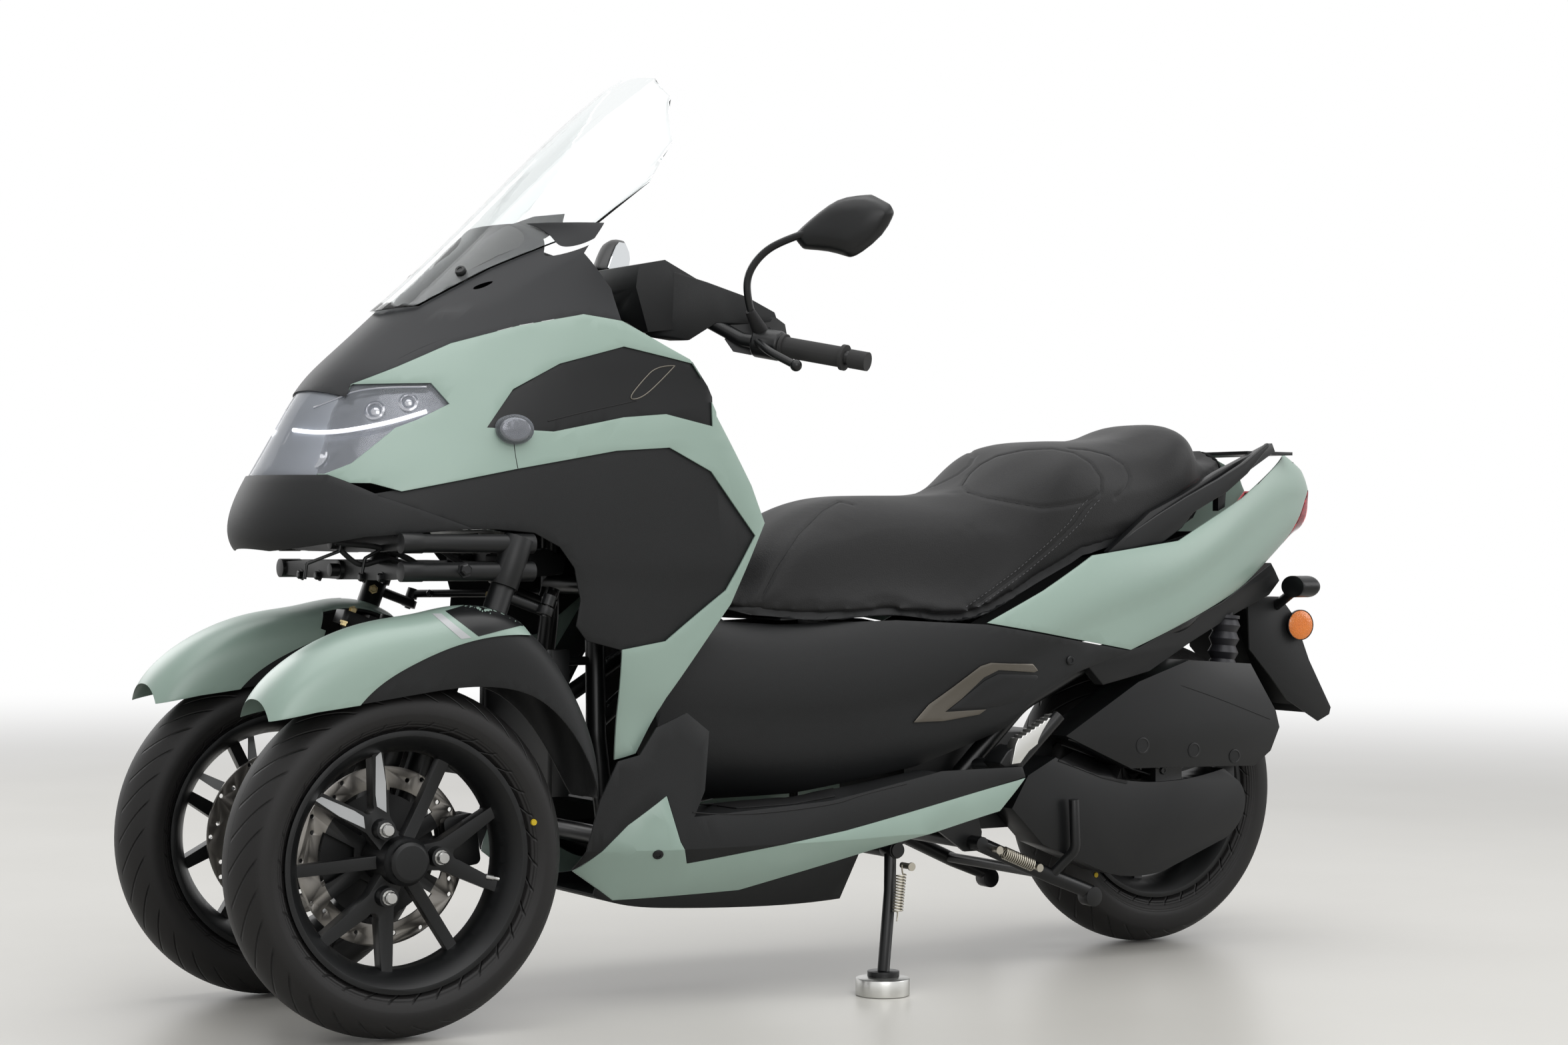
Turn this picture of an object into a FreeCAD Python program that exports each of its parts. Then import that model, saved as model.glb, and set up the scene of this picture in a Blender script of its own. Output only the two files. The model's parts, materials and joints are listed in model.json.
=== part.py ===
import FreeCAD, Part
import Sketcher
import math
import os
import re

from FreeCAD import Placement, Rotation, Vector

# Leaning three-wheeled scooter, parked on its side stand.
# +X forward, +Y to the rider's left, +Z up, millimetres, origin on the floor under the middle.

doc = FreeCAD.newDocument("Trike")
sheet = doc.addObject("Spreadsheet::Sheet", "Sizes")

sizes = {
    "wheelbase": "1595",
    "front_track": "470",
    "tail_overhang": "389.5",
    "caster_degrees": "20",
    "trail": "68",
    "front_tyre_radius": "262",
    "front_tyre_half_width": "61",
    "rear_tyre_radius": "276",
    "rear_tyre_half_width": "70",
    "tyre_shoulder_drop": "26",
    "rim_seat_radius": "178",
    "rim_flange_radius": "192",
    "front_rim_half_width": "50",
    "rear_rim_half_width": "56",
    "rim_wall": "7",
    "rim_well_depth": "12",
    "hub_radius": "36",
    "hub_half_width": "48",
    "hub_cap_radius": "30",
    "hub_cap_depth": "10",
    "lug_circle_radius": "57",
    "lug_boss_radius": "15",
    "lug_nut_radius": "8.5",
    "spoke_spread": "58",
    "spoke_width": "19",
    "spoke_depth": "24",
    "axle_radius": "8.5",
    "axle_clearance": "0.3",
    "disc_radius": "133.5",
    "disc_band": "32",
    "disc_thickness": "4.5",
    "disc_hole_radius": "3.5",
    "panel_thickness": "3",
    "panel_step": "0.5",
    "panel_overlap": "4",
    "seam_gap": "0.9",
    "stem_radius": "18",
    "stem_wall": "9",
    "stem_station": "345",
    "stem_height": "1085",
    "stem_foot_height": "655",
    "head_tube_bottom": "676",
    "head_tube_top": "1010",
    "bar_radius": "11.1",
    "grip_radius": "16.5",
    "grip_length": "112",
    "bar_end_width": "375",
    "linkage_height": "726",
    "linkage_drop": "42",
    "arm_front_station": "775",
    "arm_rear_station": "592",
    "arm_radius": "11",
    "arm_eye_length": "34",
    "pivot_head_radius": "23",
    "pivot_head_bottom": "662",
    "pivot_head_top": "735",
    "crown_height": "590",
    "crown_thickness": "20",
    "steer_arm_height": "650",
    "steer_arm_length": "74",
    "tie_pin_offset": "12",
    "tie_rod_radius": "6.5",
    "fork_tube_radius": "23",
    "fork_inner_radius": "17",
    "fork_clearance": "6",
    "fork_spacing": "62",
    "caliper_gap": "2.5",
    "fender_half_width": "72",
    "fender_thickness": "2.5",
    "fender_gap": "0.5",
    "frame_tube_radius": "16",
    "upper_tube_radius": "14",
    "rail_offset": "160",
    "puck_radius": "44",
    "puck_height": "27.5",
    "running_gap": "0.3",
    "stand_pivot_height": "225",
    "stand_barrel_radius": "14",
    "stand_pin_radius": "8",
    "centre_pivot_height": "215",
    "seat_gap": "6",
    "seat_hinge_station": "150",
    "seat_hinge_height": "618",
    "storage_wall": "3",
    "storage_half_width": "130",
    "screen_thickness": "5",
    "shock_offset": "112",
    "shock_radius": "17",
    "spring_radius": "28",
    "spring_wire": "6",
    "rack_hole_radius": "4.3",
    "rack_spacing_length": "60",
    "rack_spacing_width": "80",
    "rack_plate_thickness": "6",
}
worked_sizes = {
    "front_axle_x": "(wheelbase + tail_overhang - front_tyre_radius) / 2",
    "rear_axle_x": "front_axle_x - wheelbase",
    "front_shoulder": "front_tyre_radius - tyre_shoulder_drop",
    "rear_shoulder": "rear_tyre_radius - tyre_shoulder_drop",
    "spoke_root": "rim_seat_radius - rim_wall + 1",
    "fork_root": "sqrt(spoke_root ^ 2 - (spoke_spread + spoke_width / 2) ^ 2)",
}
for row, (alias, value) in enumerate(list(sizes.items()) + list(worked_sizes.items()), start=1):
    sheet.set("A%d" % row, alias)
    sheet.set("B%d" % row, "=" + value if alias in worked_sizes else value)
    sheet.setAlias("B%d" % row, alias)
doc.recompute()


def size(alias):
    return float(sheet.get(alias))


def bound(formula):
    """The same formula with its words as references to the sheet."""
    return re.sub("[a-z][a-z_]+", lambda word: "Sizes." + word.group(), formula)


def worked(formula):
    sheet.set("D1", "=" + formula)
    sheet.recompute()
    return float(sheet.get("D1"))


front_axle = size("front_axle_x")
rear_axle = size("rear_axle_x")
half_track = size("front_track") / 2
front_radius = size("front_tyre_radius")
rear_radius = size("rear_tyre_radius")
skin = size("panel_thickness")
seam = size("seam_gap")
gap = size("running_gap")
tilt = math.radians(size("caster_degrees"))
axis_up = Vector(-math.sin(tilt), 0, math.cos(tilt))
level = Vector(math.cos(tilt), 0, math.sin(tilt))

# Stations along the body are read from the middle between the axles.
# Those ahead of the split follow the front axle, those behind it the rear axle.
drawn_half_base = 797.5
split_station = -100.0


def at(station):
    if station > split_station:
        return front_axle + station - drawn_half_base
    return rear_axle + station + drawn_half_base


def point(station, y, z):
    return Vector(at(station), y, z)


# Document objects

parts = []


def node(label, made):
    made.Label = label
    parts.append(made)
    return made


def solid(shape, name="Shape"):
    made = doc.addObject("Part::Feature", name)
    made.Shape = shape
    return made


def common(first, second):
    made = doc.addObject("Part::Common", "Common")
    made.Base = first
    made.Tool = second
    return made


def union(pieces):
    made = doc.addObject("Part::MultiFuse", "Union")
    made.Shapes = pieces
    return made


def minus(base, tools):
    made = doc.addObject("Part::Cut", "Cut")
    made.Base = base
    made.Tool = tools[0] if len(tools) == 1 else union(tools)
    return made


def together(pieces):
    made = doc.addObject("Part::Compound", "Group")
    made.Links = pieces
    return made


def mirror_of(source):
    made = doc.addObject("Part::Mirroring", "Mirror")
    made.Source = source
    made.Normal = Vector(0, 1, 0)
    return made


def pair(source):
    return together([source, mirror_of(source)])


def outline_wire(outline, y=0.0):
    """Straight edges between stations; a run in brackets is one smooth curve."""
    edges = []
    flat = []
    for entry in outline:
        flat.append(entry if isinstance(entry, list) else [entry])
    for number, run in enumerate(flat):
        points = [Vector(at(x), y, z) for x, z in run]
        if len(points) > 2:
            spline = Part.BSplineCurve()
            spline.interpolate(points)
            edges.append(spline.toShape())
        following = flat[(number + 1) % len(flat)][0]
        edges.append(Part.LineSegment(points[-1], Vector(at(following[0]), y, following[1])).toShape())
    return Part.Wire(edges)


def prism(outline, low="-600", high="600", grow=0.0):
    """A side view outline carried across from low to high."""
    wire = outline_wire(outline, worked(low))
    if grow:
        wire = wire.makeOffset2D(grow, 2)
    made = doc.addObject("Part::Extrusion", "Prism")
    made.Base = solid(Part.Face(wire), "Outline")
    made.Dir = Vector(0, 1, 0)
    made.Solid = True
    made.setExpression("LengthFwd", bound("%s - (%s)" % (high, low)))
    return made


def cylinder(radius, height, start, way):
    """A cylinder from a start point; radius and height are formulas on the sheet."""
    made = doc.addObject("Part::Cylinder", "Cylinder")
    made.setExpression("Radius", bound(radius))
    made.setExpression("Height", bound(height))
    made.Placement = Placement(start, Rotation(Vector(0, 0, 1), way))
    return made


def block(length, width, height, corner):
    made = doc.addObject("Part::Box", "Box")
    made.setExpression("Length", bound(length))
    made.setExpression("Width", bound(width))
    made.setExpression("Height", bound(height))
    made.Placement = Placement(corner, Rotation())
    return made


def loft(wires):
    made = doc.addObject("Part::Loft", "Loft")
    made.Sections = [solid(wire, "Section") for wire in wires]
    made.Solid = True
    return made


hulls = {}


def hull(rows, slice_at, inset):
    """A body form lofted through its rows, set in by a depth; each depth is made once."""
    key = (slice_at.__name__, round(inset, 3))
    if key not in hulls:
        hulls[key] = loft([slice_at(row, inset) for row in rows])
    return hulls[key]


def rod(start, end, radius):
    return Part.makeCylinder(radius, (end - start).Length, start, end - start)


def pipe(points, radius, bend=None):
    """Straight runs joined by tangent arcs, swept with a round section."""
    edges = []
    start = points[0]
    for before, corner, after in zip(points, points[1:], points[2:]):
        back = (before - corner)
        ahead = (after - corner)
        turn = math.pi - back.getAngle(ahead)
        reach = 0.45 * min(back.Length, ahead.Length)
        if bend:
            reach = min(reach, bend * math.tan(turn / 2))
        first = corner + back.normalize() * reach
        last = corner + ahead.normalize() * reach
        arc_radius = reach / math.tan(turn / 2)
        middle_way = (back + ahead).normalize()
        centre = corner + middle_way * (arc_radius / math.cos(turn / 2))
        middle = centre - middle_way * arc_radius
        edges.append(Part.LineSegment(start, first).toShape())
        edges.append(Part.Arc(first, middle, last).toShape())
        start = last
    edges.append(Part.LineSegment(start, points[-1]).toShape())
    path = Part.Wire(edges)
    ring = Part.Wire(Part.makeCircle(radius, points[0], points[1] - points[0]))
    return path.makePipeShell([ring], True, True)


def oval_pod(length, height, depth, rounding):
    """An oval plate in the YZ plane about the origin, rounded towards +X."""
    ellipse = Part.Ellipse(Vector(0, length, 0), Vector(0, 0, height), Vector())
    plate = Part.Face(Part.Wire(ellipse.toShape())).extrude(Vector(depth, 0, 0))
    front = [e for e in plate.Edges if e.BoundBox.XMin > depth - 0.1]
    return plate.makeFillet(rounding, front)


def mirrored(shape):
    return shape.mirror(Vector(0, 0, 0), Vector(0, 1, 0))


# Bodies drawn in sketches

def arc_through(first, middle, last):
    ring = Part.Circle(first, middle, last)
    start = math.atan2(first.y - ring.Center.y, first.x - ring.Center.x)
    end = math.atan2(last.y - ring.Center.y, last.x - ring.Center.x)
    if ring.Axis.z < 0:
        start, end = end, start
    return Part.ArcOfCircle(Part.Circle(ring.Center, Vector(0, 0, 1), ring.Radius), start, end)


def sketch_on(body, role, lift="0", turn=0.0):
    plane = [f for f in body.Origin.OriginFeatures if f.Role == role][0]
    sketch = body.newObject("Sketcher::SketchObject", "Outline")
    sketch.AttachmentSupport = (plane, "")
    sketch.MapMode = "FlatFace"
    sketch.AttachmentOffset = Placement(Vector(0, 0, worked(lift)), Rotation(Vector(0, 0, 1), turn))
    sketch.setExpression("AttachmentOffset.Base.z", bound(lift))
    return sketch


def hold(sketch, piece, end, x, y):
    """Ties one end of a piece to the sheet, as distances from the sketch's origin."""
    for kind, axis, formula in (("DistanceX", -2, x), ("DistanceY", -1, y)):
        value = worked(formula)
        if abs(value) < 1e-9:
            sketch.addConstraint(Sketcher.Constraint("PointOnObject", piece, end, axis))
        else:
            number = sketch.addConstraint(Sketcher.Constraint(kind, -1, 1, piece, end, value))
            sketch.setExpression("Constraints[%d]" % number, bound(formula))


def draw(sketch, corners, arcs=()):
    """A closed outline; a corner listed in arcs is the middle of an arc between its neighbours."""
    places = [Vector(worked(x), worked(y), 0) for x, y in corners]
    ends = [n for n in range(len(corners)) if n not in arcs]
    links = []
    for order, here in enumerate(ends):
        there = ends[(order + 1) % len(ends)]
        if (here + 1) % len(corners) == there:
            piece = Part.LineSegment(places[here], places[there])
        else:
            piece = arc_through(places[here], places[here + 1], places[there])
        number = sketch.addGeometry(piece, False)
        forward = (piece.StartPoint - places[here]).Length < 1e-6
        links.append((number, 1 if forward else 2, 2 if forward else 1))
        hold(sketch, number, links[-1][1], *corners[here])
    for (piece, start, end), (following, joined, spare) in zip(links, links[1:] + links[:1]):
        sketch.addConstraint(Sketcher.Constraint("Coincident", piece, end, following, joined))
    return sketch


def ring(sketch, radius, x="0", y="0"):
    number = sketch.addGeometry(Part.Circle(Vector(worked(x), worked(y), 0), Vector(0, 0, 1),
                                            worked(radius)), False)
    hold(sketch, number, 3, x, y)
    held = sketch.addConstraint(Sketcher.Constraint("Radius", number, worked(radius)))
    sketch.setExpression("Constraints[%d]" % held, bound(radius))
    return sketch


def turned(body, sketch, groove=False):
    made = body.newObject("PartDesign::Groove" if groove else "PartDesign::Revolution", "Turned")
    made.Profile = sketch
    made.ReferenceAxis = (sketch, ["V_Axis"])
    made.Angle = 360
    body.Tip = made
    return made


def raised(body, sketch, length):
    made = body.newObject("PartDesign::Pad", "Raised")
    made.Profile = sketch
    made.setExpression("Length", bound(length))
    body.Tip = made
    return made


def pierced(body, sketch):
    made = body.newObject("PartDesign::Pocket", "Pierced")
    made.Profile = sketch
    made.Type = 1
    made.Midplane = True
    body.Tip = made
    return made


def around(body, feature, count):
    made = body.newObject("PartDesign::PolarPattern", "Around")
    made.Originals = [feature]
    made.Axis = ([f for f in body.Origin.OriginFeatures if f.Role == "Z_Axis"][0], [""])
    made.Angle = 360
    made.Occurrences = count
    body.Tip = made
    return made


# Wheels: each is drawn about its own axle, with the capped side of the hub towards local +Z

def wheel_place(centre, side):
    turn = Rotation(Vector(1, 0, 0), -90)
    if side < 0:
        turn = Rotation(Vector(0, 0, 1), 180).multiply(turn)
    return Placement(centre, turn)


def tyre(label, place, radius, shoulder, half_width, rim_half):
    body = doc.addObject("PartDesign::Body", "Tyre")
    bead = rim_half + " - rim_wall - axle_clearance"
    tread = "%s * 0.93" % half_width
    wall = "(%s + rim_flange_radius) / 2 + 4" % shoulder
    seat = "rim_seat_radius + axle_clearance"
    lip = "rim_flange_radius + 1.5"
    profile = draw(sketch_on(body, "XZ_Plane"), [
        (seat, "-(%s) + 3" % bead), (lip, "-(%s)" % bead), (wall, "-" + half_width),
        (shoulder, "-" + tread), (radius, "0"), (shoulder, tread), (wall, half_width),
        (lip, bead), (seat, bead + " - 3")], arcs=(2, 4, 6))
    turned(body, profile)
    body.Placement = place
    return node(label, body)


def rim(label, place, rim_half):
    """Cast wheel with three forked spokes at the lugs and three straight ones between them."""
    body = doc.addObject("PartDesign::Body", "Rim")
    bore = "axle_radius + axle_clearance"
    cap = "hub_half_width + hub_cap_depth"
    turned(body, draw(sketch_on(body, "XZ_Plane"), [
        (bore, "-hub_half_width"), ("hub_cap_radius", "-hub_half_width"),
        ("hub_radius", "-hub_half_width + 8"), ("hub_radius", "hub_half_width - 8"),
        ("hub_cap_radius", "hub_half_width"), ("hub_cap_radius", cap + " - 4"),
        ("hub_cap_radius - 5", cap), ("0", cap), ("0", "hub_half_width - 8"), (bore, "hub_half_width - 8")]))
    root = "spoke_root"
    inner = "hub_radius - 6"
    half = "spoke_width / 2"
    straight = raised(body, draw(sketch_on(body, "XY_Plane", "-spoke_depth / 2 + 6", 3), [
        (inner, "-" + half), (root, "-%s + 1" % half), (root, half + " - 1"), (inner, half)]),
        "spoke_depth - 6")
    around(body, straight, 3)
    forked = raised(body, draw(sketch_on(body, "XY_Plane", "-spoke_depth / 2 + 6", -57), [
        (inner, "-lug_boss_radius - 3"), ("lug_circle_radius + 8", "-lug_boss_radius - 7"),
        ("fork_root", "-spoke_spread - " + half), ("fork_root", "-spoke_spread + " + half),
        ("lug_circle_radius + 36", "-9"), ("lug_circle_radius + 28", "0"),
        ("lug_circle_radius + 36", "9"), ("fork_root", "spoke_spread - " + half),
        ("fork_root", "spoke_spread + " + half), ("lug_circle_radius + 8", "lug_boss_radius + 7"),
        (inner, "lug_boss_radius + 3")], arcs=(5,)), "spoke_depth")
    around(body, forked, 3)
    boss = raised(body, ring(sketch_on(body, "XY_Plane", "0", -57), "lug_boss_radius",
                             "lug_circle_radius"), "hub_half_width - 10")
    around(body, boss, 3)
    nut = raised(body, ring(sketch_on(body, "XY_Plane", "hub_half_width - 12", -57), "lug_nut_radius",
                            "lug_circle_radius"), "10")
    around(body, nut, 3)
    side = rim_half
    wall = side + " - rim_wall"
    well = "rim_seat_radius - rim_wall"
    turned(body, draw(sketch_on(body, "XZ_Plane"), [
        ("rim_flange_radius", "-" + side), ("rim_flange_radius", "-(%s)" % wall),
        ("rim_seat_radius", "-(%s) + 3" % wall), ("rim_seat_radius", wall + " - 3"),
        ("rim_flange_radius", wall), ("rim_flange_radius", side), ("rim_flange_radius - 8", side),
        (well, side + " - 16"), (well + " - rim_well_depth", "rim_well_depth"),
        (well + " - rim_well_depth", "-rim_well_depth"), (well, "-(%s) + 16" % side),
        ("rim_flange_radius - 8", "-" + side)]))
    body.Placement = place
    return node(label, body)


def brake_disc(label, place):
    """Drilled band on a six-armed carrier, seated on the open end of the hub."""
    body = doc.addObject("PartDesign::Body", "Disc")
    raised(body, ring(sketch_on(body, "XY_Plane", "-hub_half_width - disc_thickness"), "disc_radius"),
           "disc_thickness")
    pierced(body, ring(sketch_on(body, "XY_Plane"), "axle_radius + 4"))
    low = "hub_radius + 8"
    high = "disc_radius - disc_band"
    window = pierced(body, draw(sketch_on(body, "XY_Plane"), [
        (low, "-14"), (high + " - 8", "-40"), (high, "0"), (high + " - 8", "40"), (low, "14")],
        arcs=(2,)))
    around(body, window, 6)
    for step, share in ((0, "6"), (10, "disc_band / 2"), (20, "disc_band - 6")):
        hole = pierced(body, ring(sketch_on(body, "XY_Plane", "0", step), "disc_hole_radius",
                                  "disc_radius - " + share))
        around(body, hole, 12)
    body.Placement = place
    return node(label, body)


for name, side in (("front_left", 1), ("front_right", -1), ("rear", 1)):
    kind = "rear" if name == "rear" else "front"
    centre = Vector(rear_axle, 0, rear_radius) if name == "rear" else \
        Vector(front_axle, side * half_track, front_radius)
    place = wheel_place(centre, side)
    tyre("tyre_" + name, place, kind + "_tyre_radius", kind + "_shoulder", kind + "_tyre_half_width",
         kind + "_rim_half_width")
    rim("rim_" + name, place, kind + "_rim_half_width")
    brake_disc("disc_" + name, place)

# Front suspension: the steering axis of each wheel leans back and meets the floor ahead of it


def axis_point(z, y=0.0):
    return Vector(front_axle + size("trail") - z * math.tan(tilt), y, z)


upper_z = size("linkage_height")
lower_z = upper_z - size("linkage_drop")
arm_r = size("arm_radius")
eye_half = size("arm_eye_length") / 2
front_arm_x = at(size("arm_front_station"))
rear_arm_x = at(size("arm_rear_station"))
bracket_front = 544.7


def tilt_arm(x, z):
    """A cast arm across the vehicle: flat beam, thicker at its three eyes."""
    half = half_track
    wide = arm_r + 4
    slim = arm_r - 1
    plan = [(-half, slim), (-half * 0.55, arm_r + 3), (-44, arm_r + 3), (0, wide), (44, arm_r + 3),
            (half * 0.55, arm_r + 3), (half, slim)]
    low = [Vector(x, y, z - rise) for y, rise in plan]
    high = [Vector(x, y, z + rise) for y, rise in reversed(plan)]
    beam = Part.Face(Part.makePolygon(low + high + low[:1])).extrude(Vector(22, 0, 0))
    beam.translate(Vector(-11, 0, 0))
    eyes = [Part.makeCylinder(wide, 2 * eye_half, Vector(x - eye_half, y, z), Vector(1, 0, 0))
            for y in (-half, 0, half)]
    return beam.fuse(eyes)


def pivot_head(side):
    """The upright that carries one wheel's steering pivot between the four arms."""
    y = side * half_track
    low = axis_point(size("pivot_head_bottom"), y)
    high = axis_point(size("pivot_head_top"), y)
    head = rod(low, high, size("pivot_head_radius"))
    for z in (upper_z, lower_z):
        start = Vector(rear_arm_x + eye_half, y, z)
        head = head.fuse(rod(start, Vector(front_arm_x - eye_half, y, z), arm_r + 3))
    return head


linkage = pivot_head(1).fuse([pivot_head(-1)] + [
    tilt_arm(x, z) for x in (front_arm_x, rear_arm_x) for z in (upper_z, lower_z)])
for z in (upper_z, lower_z):
    linkage = linkage.fuse(rod(Vector(at(bracket_front) + gap, 0, z), Vector(front_arm_x + 30, 0, z),
                               arm_r - 1))
node("tilt_linkage", solid(linkage))

fork_y = half_track - size("front_tyre_half_width") - size("fork_clearance") - size("fork_tube_radius")
disc_near = half_track - size("hub_half_width") - size("disc_thickness")
steer_arm = size("steer_arm_length")
pin_offset = size("tie_pin_offset")


def arm_with_eye(start, tip, side, pin_y):
    """A steering arm whose flat eye takes the pin of a tie rod."""
    eye_at = tip + Vector(0, pin_y, 0)
    arm = rod(start, tip, 8)
    eye = Part.makeCylinder(12, 12, eye_at - axis_up * 6, axis_up)
    bore = Part.makeCylinder(5.3, 30, eye_at - axis_up * 15, axis_up)
    return arm.fuse(eye).cut(bore)


def fork(side):
    y_axis = side * half_track
    y_tube = side * fork_y
    stub_top = axis_point(size("pivot_head_bottom"), y_axis) - axis_up * gap
    crown_point = axis_point(size("crown_height"), y_axis)
    spacing = size("fork_spacing")
    low = Vector(front_axle - 4, y_tube, front_radius)
    rise = (crown_point.z - low.z) / math.cos(tilt)
    thick = size("crown_thickness")
    whole = rod(crown_point, stub_top, size("pivot_head_radius") - 4)
    for offset in (-spacing / 2, spacing / 2):
        foot = low + Vector(offset, 0, 0)
        seal = foot + axis_up * (rise * 0.52)
        whole = whole.fuse([rod(foot - axis_up * 24, seal, size("fork_tube_radius")),
                            rod(seal, seal + axis_up * 12, size("fork_tube_radius") + 2),
                            rod(seal, foot + axis_up * (rise + thick / 2 + 6),
                                size("fork_inner_radius"))])
    tubes_x = low.x + axis_up.x * rise
    back = min(crown_point.x - 30, tubes_x - spacing / 2 - 26)
    front = tubes_x + spacing / 2 + 26
    crown = Part.makeBox(front - back, 48, thick, Vector(back - tubes_x, -24, -thick / 2))
    crown = crown.makeFillet(9, [e for e in crown.Edges if abs(e.tangentAt(0).z) > 0.9])
    crown.rotate(Vector(), Vector(0, 1, 0), -math.degrees(tilt))
    crown.translate(Vector(tubes_x, y_tube, crown_point.z))
    neck = Part.makeBox(56, half_track - fork_y + 24, thick, Vector(-28, -24, -thick / 2))
    neck.rotate(Vector(), Vector(0, 1, 0), -math.degrees(tilt))
    neck.translate(Vector(crown_point.x, min(y_axis, y_tube) + (24 if side > 0 else 0), crown_point.z))
    lug = Part.makeCylinder(34, 30, Vector(front_axle - 4, y_tube - 15, front_radius), Vector(0, 1, 0))
    axle_end = y_axis + side * (size("hub_half_width") - 10)
    axle = rod(Vector(front_axle, y_tube, front_radius), Vector(front_axle, axle_end, front_radius),
               size("axle_radius"))
    collar_end = side * (disc_near - gap)
    collar = rod(Vector(front_axle, y_tube, front_radius),
                 Vector(front_axle, collar_end, front_radius), 16)
    whole = whole.fuse([crown, neck, lug, axle, collar])
    arm_start = axis_point(size("steer_arm_height"), y_axis)
    arm = arm_with_eye(arm_start, arm_start - level * steer_arm, side, side * pin_offset)
    disc_y = side * (disc_near + size("disc_thickness") / 2)
    grip = caliper(Vector(front_axle, 0, front_radius), disc_y, 8)
    stay = rod(Vector(front_axle - 50, side * (fork_y + 12), front_radius + 12),
               Vector(front_axle - 108, side * (disc_near - 13), front_radius + 15), 9)
    dish = Part.makeCone(60, 92, 6, Vector(front_axle, side * (disc_near - 16), front_radius),
                         Vector(0, side, 0))
    return whole.fuse([arm, grip, stay, dish])


def caliper(axle_point, disc_y, turn):
    """Two-piece caliper that straddles the disc at an angle about the axle."""
    opening = size("disc_thickness") + 2 * size("caliper_gap")
    rim_edge = size("disc_radius") + size("caliper_gap")
    outer = rim_edge + 14
    inner = size("disc_radius") - size("disc_band") - 4
    body = Part.makeBox(outer - inner, 40, 78, Vector(-outer, -20, -39))
    body = body.makeFillet(9, [e for e in body.Edges if abs(e.tangentAt(0).y) > 0.9])
    body = body.cut(Part.makeBox(rim_edge - inner + 5, opening, 120, Vector(-rim_edge, -opening / 2, -60)))
    body.rotate(Vector(), Vector(0, 1, 0), turn)
    body.translate(Vector(axle_point.x, disc_y, axle_point.z))
    return body


forks = {side: fork(side) for side in (1, -1)}
node("fork_left", solid(forks[1]))
node("fork_right", solid(forks[-1]))

# Fenders: a black guard about each wheel, and a painted shell over its front
fender_ridge = [
    # angle about the axle from straight ahead, radius of the ridge
    (42, 316), (57, 338), (72, 346), (87, 354), (100, 373), (110, 394), (119, 397), (131, 383),
    (141, 369), (151, 357), (160, 345), (169, 330)]


def fender_profile(angle, ridge, inset, spare):
    half = size("fender_half_width") - inset
    top = front_radius + (ridge - 262) - inset
    edge = front_radius - 42 - 3 * spare
    quarter = [(half, edge), (half - 1, top - 52), (half * 0.83, top - 20), (half * 0.42, top - 3.5)]
    line = quarter + [(0, top)] + [(-y, r) for y, r in reversed(quarter)]
    turn = math.radians(angle)
    points = [Vector(r * math.cos(turn), y, r * math.sin(turn)) for y, r in line]
    spline = Part.BSplineCurve()
    spline.interpolate(points)
    return Part.Wire([spline.toShape(), Part.LineSegment(points[-1], points[0]).toShape()])


def fender_form(inset, spare=0):
    """The solid under a fender's skin; spare runs it on past both ends and the open side."""
    first, last = fender_ridge[0], fender_ridge[-1]
    rows = [(first[0] - spare, first[1])] + fender_ridge[1:-1] + [(last[0] + spare, last[1])]
    return Part.makeLoft([fender_profile(a, r, inset, spare) for a, r in rows], True, False, False, 5)


fender_thick = size("fender_thickness")
guard_inset = fender_thick + size("fender_gap")
shell_shape = fender_form(0.0).cut(fender_form(fender_thick, 3))
guard_shape = fender_form(guard_inset).cut(fender_form(guard_inset + fender_thick, 3))
shell_outline = [(1016, 474), (951, 486), [(885, 494), (845, 528), (806, 549), (726, 579),
                 (605, 590)], (620, 629), (662, 655), (662, 800), (1100, 800), (1100, 474)]
guard_outline = [(1000, 474), [(951, 489), (885, 495), (781, 509), (664, 514), (605, 499), (562, 468),
                 (526, 424), (501, 379), (485, 340)], (400, 330), (400, 800), (1100, 800), (1100, 489)]
for side, name in ((1, "left"), (-1, "right")):
    y_axis = side * half_track
    room = rod(axis_point(540, y_axis), axis_point(700, y_axis), size("pivot_head_radius") - 4 + gap)
    tubes_low = Vector(front_axle - 4, side * fork_y, front_radius)
    slot = Part.makeBox(size("fork_spacing") + 2 * size("fork_tube_radius") + 14, 60, 420,
                        Vector(-size("fork_spacing") / 2 - size("fork_tube_radius") - 7, -30, 0))
    slot.rotate(Vector(), Vector(0, 1, 0), -math.degrees(tilt))
    slot.translate(tubes_low)
    crown_room = Part.makeBox(150, 60, 60, Vector(-75, -30, -30))
    crown_room.rotate(Vector(), Vector(0, 1, 0), -math.degrees(tilt))
    crown_room.translate(axis_point(size("crown_height"), side * (fork_y + 10)) + Vector(18, 0, 0))
    rooms = solid(room.fuse([slot, crown_room]), "Room")
    place = Placement(Vector(front_axle, y_axis, front_radius), Rotation())
    for label, shape, outline in (("mudguard_", guard_shape, guard_outline),
                                  ("fender_", shell_shape, shell_outline)):
        form = solid(shape, "Form")
        form.Placement = place
        node(label + name, minus(common(form, prism(outline)), [rooms]))

# Handlebar and stem
stem_top = Vector(at(size("stem_station")), 0, size("stem_height"))


def stem_at(z):
    return Vector(stem_top.x - (z - stem_top.z) * math.tan(tilt), 0, z)


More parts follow.
